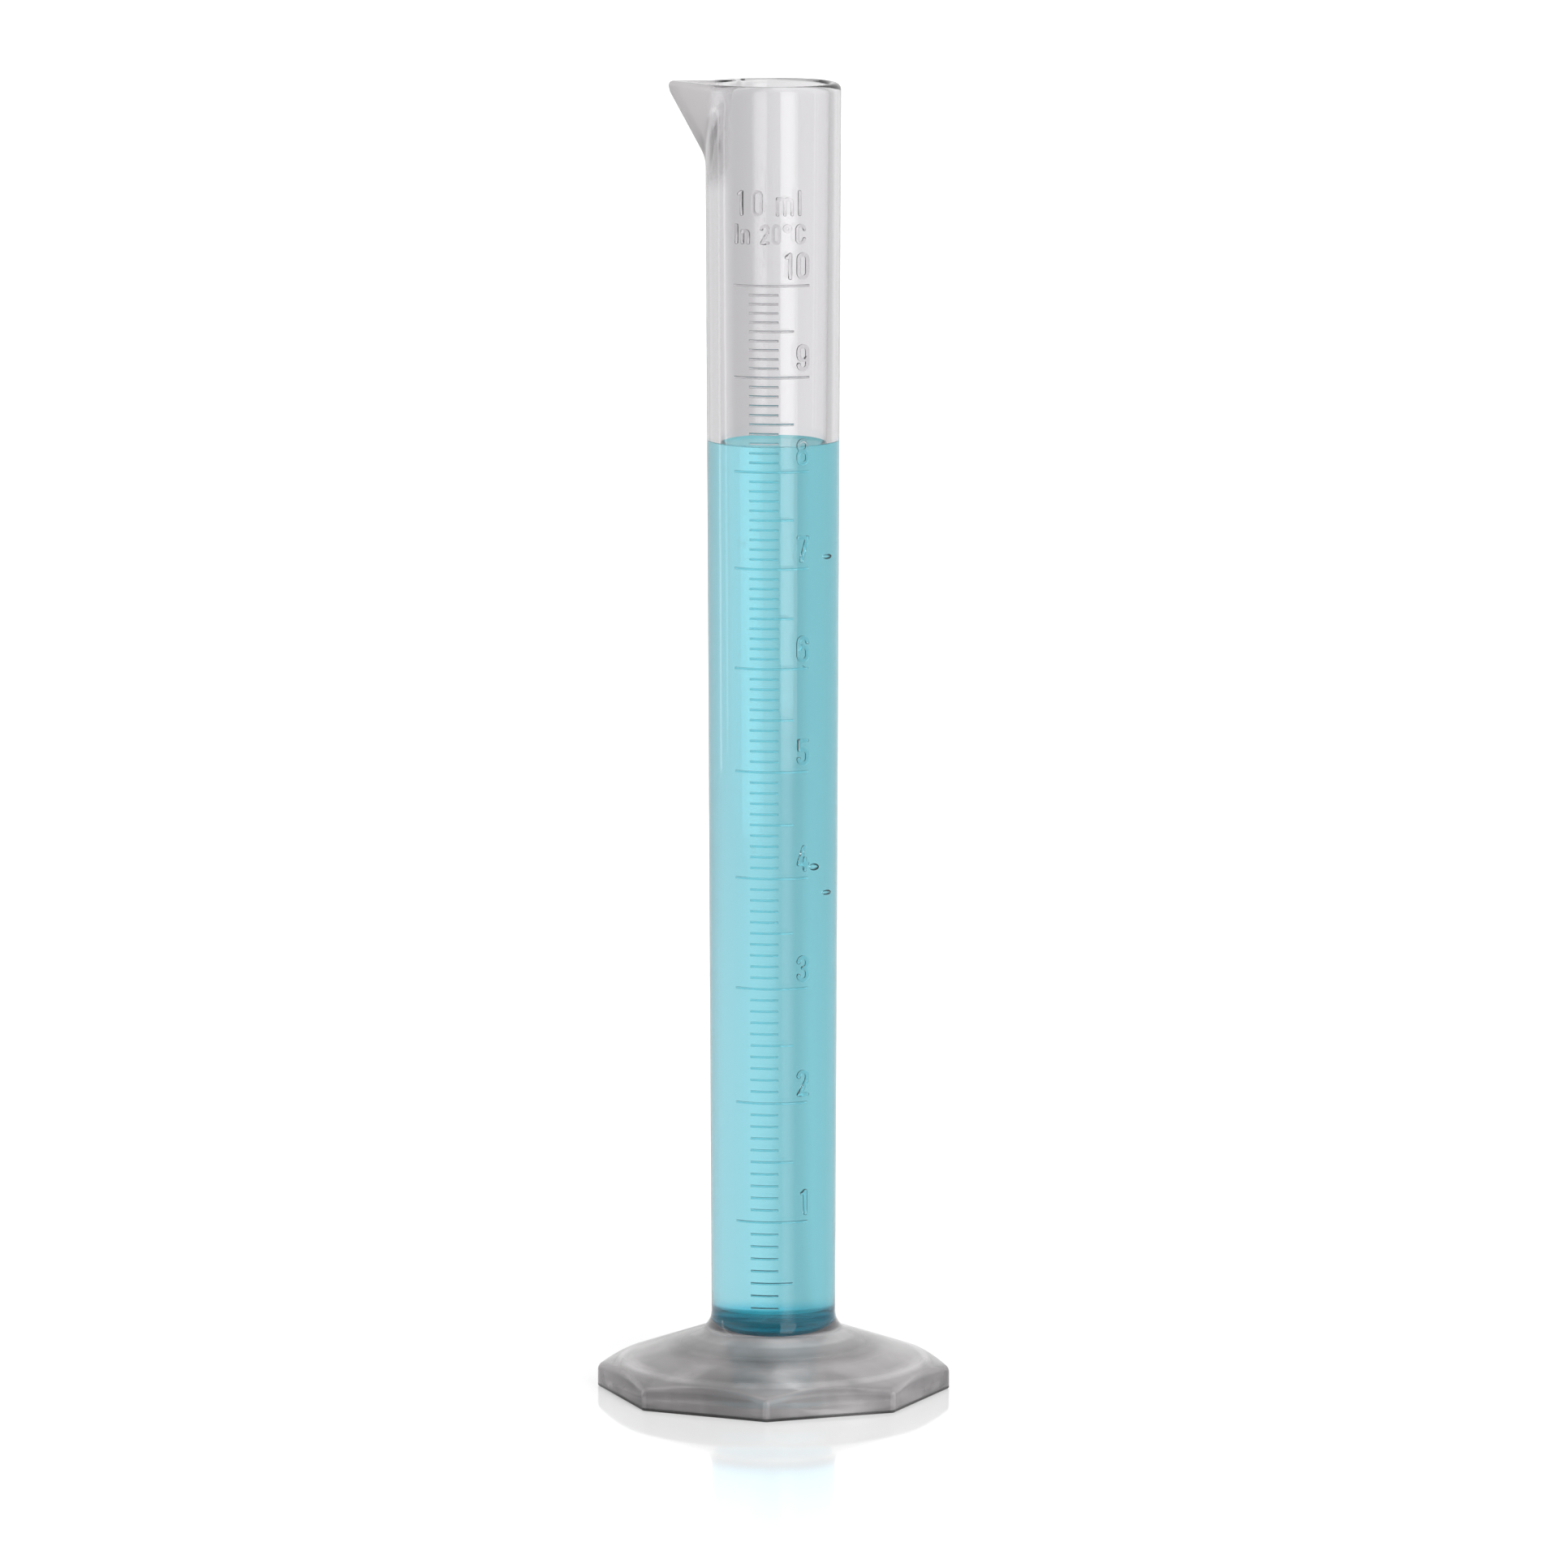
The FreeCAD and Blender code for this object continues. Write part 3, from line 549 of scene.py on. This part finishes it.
def meniscus_height(radius, wall):
    """The liquid's surface: level, then up to the wall in a curve that gets steeper."""
    into = max(radius - (wall - MENISCUS_WIDTH), 0.0) / MENISCUS_WIDTH
    return LIQUID_TOP - MENISCUS_RISE + MENISCUS_RISE * into ** MENISCUS_CURVE


def make_liquid(dyed_water, surface):
    """The liquid as its own closed piece, a hair wider than the bore so that no gap shows."""
    wall = bore_radius(LIQUID_TOP)
    rings = []
    centre = bore_radius(BORE_FLOOR + BORE_CORNER) - BORE_CORNER
    floor = BORE_FLOOR - WALL_OVERLAP
    rings.append(plain_ring(centre * 0.5, floor))
    for angle in arc_steps(-90.0, 0.0, 7):
        spread = BORE_CORNER + WALL_OVERLAP
        rings.append(plain_ring(centre + spread * math.cos(angle),
                                BORE_FLOOR + BORE_CORNER + spread * math.sin(angle)))
    for height in levels(BORE_FLOOR + BORE_CORNER, LIQUID_TOP, WALL_STEP):
        rings.append(plain_ring(bore_radius(height) + WALL_OVERLAP, height))
    for share in (0.97, 0.94, 0.9, 0.86, 0.82, 0.76, 0.6, 0.4, 0.2):
        radius = wall * share
        rings.append(plain_ring(radius, meniscus_height(radius, wall)))
    stations = [math.radians(TURN_STEP * step) for step in range(240)]
    mesh = turned_mesh("blue_water", rings, stations)
    piece = add_object("blue_water", mesh, dyed_water)
    mesh.materials.append(surface)
    for face in mesh.polygons:
        heights = [mesh.vertices[index].co.z for index in face.vertices]
        face.material_index = 1 if min(heights) > LIQUID_TOP - 1.01 * MENISCUS_RISE else 0
    face_outward(piece)
    sharpen(piece, SHARP_ANGLE)
    return piece


def edge_is_crest(edge):
    """True for a mark's upper edge, which the mould rounds over."""
    if len(edge.link_faces) != 2 or edge.calc_face_angle(0.0) < MARK_CREST_ANGLE:
        return False
    return all(standing_out(vertex.co) > 0.6 * RELIEF for vertex in edge.verts)


def standing_out(point):
    """How far a point is outside the tube's wall."""
    return math.hypot(point.x, point.y) - outer_radius(point.z)


def make_mark(node_name, plastic):
    """A raised mark with its upper edges rounded over and its foot sunk a hair into the tube."""
    shape = bmesh.new()
    shape.from_mesh(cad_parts[node_name].data)
    bmesh.ops.remove_doubles(shape, verts=shape.verts, dist=WELD_DISTANCE)
    crests = [edge for edge in shape.edges if edge_is_crest(edge)]
    bmesh.ops.bevel(shape, geom=crests, offset=MARK_ROUND, segments=3, profile=0.5,
                    affect="EDGES", clamp_overlap=True)
    for vertex in shape.verts:
        if standing_out(vertex.co) < 0.1 * RELIEF:
            across = Vector((vertex.co.x, vertex.co.y, 0.0)).normalized()
            vertex.co -= across * MARK_SINK
    mesh = bpy.data.meshes.new("raised_" + node_name)
    shape.to_mesh(mesh)
    shape.free()
    piece = add_object("raised_" + node_name, mesh, plastic)
    sharpen(piece, MARK_SHARP_ANGLE)
    return piece


def add_bubble(shape, height, across, size, squash):
    """A small air bubble that clings to the wall."""
    wall = bore_radius(height) - size * BUBBLE_SINK
    depth = -math.sqrt(wall ** 2 - across ** 2)
    spot = Matrix.Translation(Vector((across, depth, height)))
    spot = spot @ Matrix.Diagonal(Vector((1.0, 1.0, squash, 1.0)))
    bmesh.ops.create_uvsphere(shape, u_segments=20, v_segments=12, radius=size, matrix=spot)


def make_bubbles(air):
    shape = bmesh.new()
    for height, across, size, squash in BUBBLES:
        add_bubble(shape, height, across, size, squash)
    mesh = bpy.data.meshes.new("air_bubbles")
    shape.to_mesh(mesh)
    shape.free()
    return add_object("air_bubbles", mesh, air)


# ------------------------------------------------------------------ materials


def new_material(name):
    """A material with its Principled node, ready for settings and links."""
    material = bpy.data.materials.new(name)
    material.use_nodes = True
    return material, material.node_tree, material.node_tree.nodes["Principled BSDF"]


def noise_between(tree, scale, low, high, detail=4.0):
    """A noise over the object's own coordinates, mapped between two values."""
    place_node = tree.nodes.new("ShaderNodeTexCoord")
    noise = tree.nodes.new("ShaderNodeTexNoise")
    noise.inputs["Scale"].default_value = scale
    noise.inputs["Detail"].default_value = detail
    tree.links.new(place_node.outputs["Object"], noise.inputs["Vector"])
    spread = tree.nodes.new("ShaderNodeMapRange")
    spread.inputs["To Min"].default_value = low
    spread.inputs["To Max"].default_value = high
    tree.links.new(noise.outputs["Fac"], spread.inputs["Value"])
    return spread.outputs["Result"]


def add_bump(tree, shader, height, strength, distance):
    bump = tree.nodes.new("ShaderNodeBump")
    bump.inputs["Strength"].default_value = strength
    bump.inputs["Distance"].default_value = distance
    tree.links.new(height, bump.inputs["Height"])
    tree.links.new(bump.outputs["Normal"], shader.inputs["Normal"])


def smooth_step(tree, value, start, end):
    """0 before the start and 1 after the end, with a soft change between."""
    step = tree.nodes.new("ShaderNodeMapRange")
    step.interpolation_type = "SMOOTHSTEP"
    step.inputs["From Min"].default_value = start
    step.inputs["From Max"].default_value = end
    tree.links.new(value, step.inputs["Value"])
    return step.outputs["Result"]


def join(tree, operation, first, second):
    """Two values put together by an operation, such as MULTIPLY or MINIMUM."""
    node = tree.nodes.new("ShaderNodeMath")
    node.operation = operation
    tree.links.new(first, node.inputs[0])
    tree.links.new(second, node.inputs[1])
    return node.outputs["Value"]


def blend_colours(tree, share, first, second):
    """The first colour where the share is 0, the second where it is 1. A colour may be an output."""
    blend = tree.nodes.new("ShaderNodeMix")
    blend.data_type = "RGBA"
    tree.links.new(share, blend_socket(blend.inputs, "Factor", "VALUE"))
    for name, colour in (("A", first), ("B", second)):
        socket = blend_socket(blend.inputs, name, "RGBA")
        if isinstance(colour, tuple):
            socket.default_value = colour
        else:
            tree.links.new(colour, socket)
    return blend_socket(blend.outputs, "Result", "RGBA")


def blend_socket(sockets, name, kind):
    """A Mix node has one socket of each name for each kind of value."""
    return [socket for socket in sockets if socket.name == name and socket.type == kind][0]


def blend_values(tree, share, first, second):
    """The first value where the share is 0, the second where it is 1."""
    spread = tree.nodes.new("ShaderNodeMapRange")
    spread.inputs["To Min"].default_value = first
    spread.inputs["To Max"].default_value = second
    tree.links.new(share, spread.inputs["Value"])
    return spread.outputs["Result"]


def band(tree, value, rise, fall):
    """1 between a rise and a fall of the value, each given by where it starts and ends."""
    risen = smooth_step(tree, value, *rise)
    return join(tree, "MULTIPLY", risen, smooth_step(tree, value, fall[1], fall[0]))


def place_parts(tree, kind="Object"):
    """X, Y and Z of a place on the object, or of a direction."""
    place_node = tree.nodes.new("ShaderNodeTexCoord")
    parts = tree.nodes.new("ShaderNodeSeparateXYZ")
    tree.links.new(place_node.outputs[kind], parts.inputs["Vector"])
    return parts.outputs


def away_from_axis(tree, operation, output):
    """The level vector from the axis to a place: its length, or its direction."""
    place_node = tree.nodes.new("ShaderNodeTexCoord")
    flat = tree.nodes.new("ShaderNodeVectorMath")
    flat.operation = "MULTIPLY"
    flat.inputs[1].default_value = (1.0, 1.0, 0.0)
    tree.links.new(place_node.outputs["Object"], flat.inputs[0])
    measure = tree.nodes.new("ShaderNodeVectorMath")
    measure.operation = operation
    tree.links.new(flat.outputs["Vector"], measure.inputs[0])
    return measure.outputs[output]


def distance_from_axis(tree):
    return away_from_axis(tree, "LENGTH", "Value")


def foot_share(tree):
    """The foot, below the neck."""
    return smooth_step(tree, place_parts(tree)["Z"], *MILKY_FOOT)


def spout_share(tree):
    """The spout, outside the round of the tube."""
    parts = place_parts(tree)
    beyond_tube = smooth_step(tree, parts["X"], *MILKY_SPOUT)
    return join(tree, "MULTIPLY", beyond_tube, smooth_step(tree, parts["Z"], *SPOUT_ZONE))


def ring_share(tree, in_foot, limits):
    """The part of the foot inside or outside a ring, by where the ring's edge starts and ends."""
    return join(tree, "MULTIPLY", in_foot, smooth_step(tree, distance_from_axis(tree), *limits))


def foot_colour(tree):
    """Grey clouds where the melt flowed, then painted light and shade: a painted dark ring over the
    neck's curve, painted highlights beside the hollow's edge and on the corners, painted shade beyond the
    hollow, and a painted contact shadow along the foot's lower edge."""
    cloud = smooth_step(tree, noise_between(tree, CLOUD_SCALE, 0.0, 1.0, 3.0), 0.35, 0.68)
    colour = blend_colours(tree, cloud, DARK_CLOUD, LIGHT_CLOUD)
    shares = painted_foot_light_shares(tree)
    for name, (weight, grey) in FOOT_PAINTED_LIGHT.items():
        tone = (grey, grey * 0.97, grey * 0.98, 1.0)
        colour = blend_colours(tree, blend_values(tree, shares[name], 0.0, weight), colour, tone)
    return colour


def painted_foot_light_shares(tree):
    """Where each of the foot's painted tones of light and shade is. The painted highlight beside the
    hollow's edge shows only at the left and the right.
    """
    away = distance_from_axis(tree)
    parts = place_parts(tree)
    aside_squared = join(tree, "MULTIPLY", parts["X"], parts["X"])
    at_sides = smooth_step(tree, aside_squared, *[aside ** 2 for aside in PAINTED_HOLLOW_HIGHLIGHT_ASIDE])
    return {"painted_neck_shade": band(tree, away, *PAINTED_NECK_SHADE_RING),
            "painted_hollow_light": join(tree, "MULTIPLY", band(tree, away, *PAINTED_HOLLOW_HIGHLIGHT), at_sides),
            "painted_outer_shade": smooth_step(tree, away, *PAINTED_OUTER_SHADE_RADII),
            "corners": smooth_step(tree, away, *PAINTED_CORNER_HIGHLIGHT),
            "painted_contact_shadow": smooth_step(tree, parts["Z"], *PAINTED_CONTACT_SHADOW_HEIGHTS)}


def plastic_clearness(tree, in_foot, in_spout):
    """The share of light that goes straight through: less where the plastic is thick."""
    clear = blend_values(tree, in_foot, CLEAR_WALL, CLEAR_FOOT)
    spout = blend_values(tree, in_spout, 1.0, CLEAR_SPOUT)
    neck = blend_values(tree, ring_share(tree, in_foot, MILKY_NECK), 1.0, CLEAR_NECK)
    foot_rim = blend_values(tree, ring_share(tree, in_foot, MILKY_RIM), 1.0, CLEAR_FOOT_RIM)
    for limit in (spout, neck, foot_rim):
        clear = join(tree, "MINIMUM", clear, limit)
    return clear


def moulded_plastic():
    """Clear moulded plastic: faintly grey, milky where it is thick, with flow ripples, and painted light
    and shade on the foot.
    """
    material, tree, shader = new_material("clear_plastic")
    in_foot = foot_share(tree)
    in_spout = spout_share(tree)
    colour = blend_colours(tree, in_foot, CLEAR_GREY, foot_colour(tree))
    colour = blend_colours(tree, in_spout, colour, SPOUT_GREY)
    tree.links.new(colour, shader.inputs["Base Color"])
    clear = plastic_clearness(tree, in_foot, in_spout)
    tree.links.new(clear, shader.inputs["Transmission Weight"])
    shader.inputs["IOR"].default_value = PLASTIC_IOR
    haze = noise_between(tree, HAZE_SCALE, *PLASTIC_HAZE)
    softened = join(tree, "MAXIMUM", haze, blend_values(tree, in_foot, *FOOT_HAZE))
    tree.links.new(softened, shader.inputs["Roughness"])
    ripple = noise_between(tree, RIPPLE_SCALE, 0.0, 1.0, 2.0)
    add_bump(tree, shader, ripple, 0.12, 0.2 * MM)
    add_absorption(tree, PLASTIC_BODY, PLASTIC_DENSITY)
    return material


def mark_shade_share(tree):
    """Where a mark gets painted shade: 0 on its top and 1 on its steep sides, by how far the face leans
    from the tube's wall.
    """
    geometry = tree.nodes.new("ShaderNodeNewGeometry")
    lean = tree.nodes.new("ShaderNodeVectorMath")
    lean.operation = "DOT_PRODUCT"
    tree.links.new(geometry.outputs["True Normal"], lean.inputs[0])
    tree.links.new(away_from_axis(tree, "NORMALIZE", "Vector"), lean.inputs[1])
    return smooth_step(tree, lean.outputs["Value"], *MARK_LEAN)


def raised_plastic():
    """The same plastic where the marks stand up from the tube: their sides are painted darker as painted
    shade, in patches, most of all where only air is behind them."""
    material, tree, shader = new_material("raised_plastic")
    # Painted shade on the marks' sides, patchy in strength and weaker over the liquid.
    shade_patchiness = noise_between(tree, SIDE_SHADE_PATCH_SCALE, 0.55, 1.0)
    over_air = smooth_step(tree, place_parts(tree)["Z"], *OVER_AIR)
    wet_or_dry = join(tree, "MULTIPLY", shade_patchiness, blend_values(tree, over_air, WET_SIDE_SHADE_SHARE, 1.0))
    painted_side_shade = join(tree, "MULTIPLY", mark_shade_share(tree), wet_or_dry)
    painted_shade_colour = blend_colours(tree, over_air, WET_MARK_SHADED_SIDE, DRY_MARK_SHADED_SIDE)
    top_colour = blend_colours(tree, over_air, WET_MARK_TOP, DRY_MARK_TOP)
    colour = blend_colours(tree, painted_side_shade, top_colour, painted_shade_colour)
    tree.links.new(colour, shader.inputs["Base Color"])
    shader.inputs["Transmission Weight"].default_value = CLEAR_MARK
    shader.inputs["IOR"].default_value = PLASTIC_IOR
    haze = noise_between(tree, MARK_HAZE_SCALE, *PLASTIC_HAZE)
    tree.links.new(haze, shader.inputs["Roughness"])
    return material


def bubble_air():
    """The inside of a bubble: light bends the other way there. A faint film varies the gloss."""
    material, tree, shader = new_material("bubble_air")
    film = noise_between(tree, FILM_SCALE, 0.0, 1.0)
    colour = blend_colours(tree, film, BUBBLE_FILM, CLEAR)
    tree.links.new(colour, shader.inputs["Base Color"])
    tree.links.new(noise_between(tree, FILM_SCALE, 0.0, 0.05), shader.inputs["Roughness"])
    shader.inputs["Transmission Weight"].default_value = 1.0
    shader.inputs["IOR"].default_value = BUBBLE_IOR
    return material


def dyed_water_material():
    """Water with a blue dye, where it meets the plastic, painted paler at the left as painted light. It
    is deep teal at the rounded bottom, where light has come a long way through it."""
    material, tree, shader = new_material("dyed_water")
    parts = place_parts(tree)
    pale = smooth_step(tree, parts["Z"], *DEEP_TEAL_FADE)
    # Painted light: the liquid is painted paler at the left than at the right.
    dye = blend_colours(tree, smooth_step(tree, parts["X"], *PALE_LEFT_FADE), PALER_DYE_AT_LEFT, RIGHT_DYE)
    colour = blend_colours(tree, pale, DEEP_TEAL, dye)
    tree.links.new(colour, shader.inputs["Base Color"])
    clear = blend_values(tree, pale, CLEAR_DEEP_WATER, 1.0)
    tree.links.new(clear, shader.inputs["Transmission Weight"])
    shader.inputs["Roughness"].default_value = 0.0
    shader.inputs["IOR"].default_value = WATER_IOR
    return material


def water_surface_material():
    """The water's free surface: the dye below it glows through, with a slow swirl in its tint."""
    material, tree, shader = new_material("water_surface")
    swirl = noise_between(tree, SWIRL_SCALE, 0.0, 1.0, 2.0)
    colour = blend_colours(tree, swirl, SURFACE_DYE, PALE_SURFACE_DYE)
    tree.links.new(colour, shader.inputs["Base Color"])
    shader.inputs["Transmission Weight"].default_value = CLEAR_SURFACE
    shader.inputs["Roughness"].default_value = 0.05
    shader.inputs["IOR"].default_value = 1.05
    shader.inputs["Specular IOR Level"].default_value = 0.0
    return material


def material_output(tree):
    return [node for node in tree.nodes if node.type == "OUTPUT_MATERIAL"][0]


def add_absorption(tree, colour, density):
    """Dims light by how far it goes inside the piece."""
    volume = tree.nodes.new("ShaderNodeVolumeAbsorption")
    volume.inputs["Color"].default_value = colour
    volume.inputs["Density"].default_value = density
    tree.links.new(volume.outputs["Volume"], material_output(tree).inputs["Volume"])


def studio_surroundings(tree):
    """Light and dark sides of the studio, by direction round the object, mirrored in the table."""
    coordinates = tree.nodes.new("ShaderNodeTexCoord")
    around = tree.nodes.new("ShaderNodeTexGradient")
    around.gradient_type = "RADIAL"
    tree.links.new(coordinates.outputs["Object"], around.inputs["Vector"])
    ramp = tree.nodes.new("ShaderNodeValToRGB")
    ramp.color_ramp.interpolation = "EASE"
    elements = ramp.color_ramp.elements
    for azimuth, light in STUDIO_SIDES:
        place_on_ramp = (0.25 + azimuth / 360.0) % 1.0
        element = elements.new(place_on_ramp)
        element.color = (light, light, light, 1.0)
    elements.remove(elements[0])
    elements.remove(elements[-1])
    tree.links.new(around.outputs["Color"], ramp.inputs["Fac"])
    return ramp.outputs["Color"]


def table_for_the_camera(tree, shader):
    """White and glossy, with a soft glow that grows away from the object."""
    shader.inputs["Base Color"].default_value = TABLE_WHITE
    shader.inputs["Roughness"].default_value = TABLE_ROUGHNESS
    shader.inputs["IOR"].default_value = TABLE_IOR
    shader.inputs["Emission Color"].default_value = CLEAR
    fading = smooth_step(tree, distance_from_axis(tree), *TABLE_GLOW_FADE)
    tree.links.new(blend_values(tree, fading, *TABLE_GLOW), shader.inputs["Emission Strength"])


def table_for_the_plastic(tree):
    """Dull, and light or dark by direction, as seen through the plastic or mirrored in it."""
    shader = tree.nodes.new("ShaderNodeBsdfPrincipled")
    shader.inputs["Base Color"].default_value = TABLE_UNDER_PLASTIC
    shader.inputs["Roughness"].default_value = 1.0
    shader.inputs["Specular IOR Level"].default_value = 0.0
    tree.links.new(studio_surroundings(tree), shader.inputs["Emission Color"])
    near = smooth_step(tree, distance_from_axis(tree), *NEAR_TABLE_FADE)
    tree.links.new(blend_values(tree, near, 1.0, NEAR_TABLE_GAIN), shader.inputs["Emission Strength"])
    return shader


def floor_material():
    """A plain white glossy table that is toned down where it is only seen through the plastic."""
    material, tree, shader = new_material("white_table")
    table_for_the_camera(tree, shader)
    behind = table_for_the_plastic(tree)
    path = tree.nodes.new("ShaderNodeLightPath")
    mix = tree.nodes.new("ShaderNodeMixShader")
    tree.links.new(path.outputs["Is Camera Ray"], mix.inputs["Fac"])
    tree.links.new(behind.outputs["BSDF"], mix.inputs[1])
    tree.links.new(shader.outputs["BSDF"], mix.inputs[2])
    tree.links.new(mix.outputs["Shader"], material_output(tree).inputs["Surface"])
    return material


# ------------------------------------------------------------------ stage


def make_floor():
    bpy.ops.mesh.primitive_plane_add(size=TABLE_SIZE)
    floor = bpy.context.object
    floor.name = "table"
    floor.data.materials.append(floor_material())


def make_world():
    """A white studio, a little greyer overhead and dim behind the viewer."""
    world = bpy.data.worlds.new("studio")
    bpy.context.scene.world = world
    world.use_nodes = True
    tree = world.node_tree
    parts = place_parts(tree, "Generated")
    overhead = smooth_step(tree, parts["Z"], *OVERHEAD_FADE)
    lit_sides = smooth_step(tree, parts["Y"], *FRONT_FADE)
    brightness = join(tree, "MULTIPLY", blend_values(tree, overhead, 1.0, OVERHEAD_LIGHT),
                      blend_values(tree, lit_sides, FRONT_LIGHT, 1.0))
    tree.links.new(brightness, tree.nodes["Background"].inputs["Color"])


def add_softbox(name, azimuth, wide, brightness):
    """An upright rectangular light. Azimuth 0 is the scale's side, and 90 is +X."""
    turn = math.radians(azimuth)
    away = Vector((math.sin(turn), -math.cos(turn), 0.0))
    tall = LAMP_HEAD - LAMP_FOOT
    light = bpy.data.lights.new(name, "AREA")
    light.shape = "RECTANGLE"
    light.size = wide
    light.size_y = tall
    light.energy = brightness * math.pi * wide * tall
    lamp = bpy.data.objects.new(name, light)
    lamp.location = away * LAMP_DISTANCE + Vector((0.0, 0.0, (LAMP_FOOT + LAMP_HEAD) / 2))
    lamp.rotation_euler = (-away).to_track_quat("-Z", "Y").to_euler()
    lamp.visible_camera = False
    bpy.context.scene.collection.objects.link(lamp)


def make_lights():
    """A thin light at the side, and a window whose edges are soft: lamps of several widths."""
    add_softbox("side_light", SIDE_LIGHT_AZIMUTH, SIDE_LIGHT_WIDTH, SIDE_LIGHT_BRIGHTNESS)
    for share in (0.25, 0.4, 0.6, 0.8, 1.0):
        add_softbox("window", WINDOW_AZIMUTH, WINDOW_WIDTH * share, WINDOW_BRIGHTNESS)


def make_camera():
    """The eye: a long lens a little above the rim, looking slightly down."""
    camera = bpy.data.cameras.new("camera")
    camera.sensor_width = SENSOR_WIDTH
    camera.lens = LENS
    camera.clip_start = 0.01
    eye = bpy.data.objects.new("camera", camera)
    back = Vector((math.sin(EYE_AZIMUTH), -math.cos(EYE_AZIMUTH), 0.0))
    right = Vector((math.cos(EYE_AZIMUTH), math.sin(EYE_AZIMUTH), 0.0))
    eye.location = back * EYE_DISTANCE + right * EYE_ASIDE + Vector((0.0, 0.0, EYE_HEIGHT))
    eye.rotation_euler = (math.radians(90.0) - EYE_TILT, 0.0, EYE_AZIMUTH)
    bpy.context.scene.collection.objects.link(eye)
    bpy.context.scene.camera = eye


def set_view():
    """Plain colours, and enough bounces for light to get through nested clear walls."""
    scene = bpy.context.scene
    scene.view_settings.view_transform = "Standard"
    scene.cycles.max_bounces = LIGHT_BOUNCES
    scene.cycles.transmission_bounces = LIGHT_BOUNCES
    scene.cycles.transparent_max_bounces = LIGHT_BOUNCES


# ------------------------------------------------------------------ the object


def main():
    make_camera()
    body = make_moulding(moulded_plastic())
    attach(body, "root")
    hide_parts("barrel", "pouring_spout", "foot")
    water = make_liquid(dyed_water_material(), water_surface_material())
    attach(water, "root")
    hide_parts("blue_liquid")
    raised = raised_plastic()
    for name in RAISED_NODES:
        mark = make_mark(name, raised)
        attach(mark, "root")
        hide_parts(name)
    bubbles = make_bubbles(bubble_air())
    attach(bubbles, "root")
    make_floor()
    make_world()
    make_lights()
    set_view()


main()
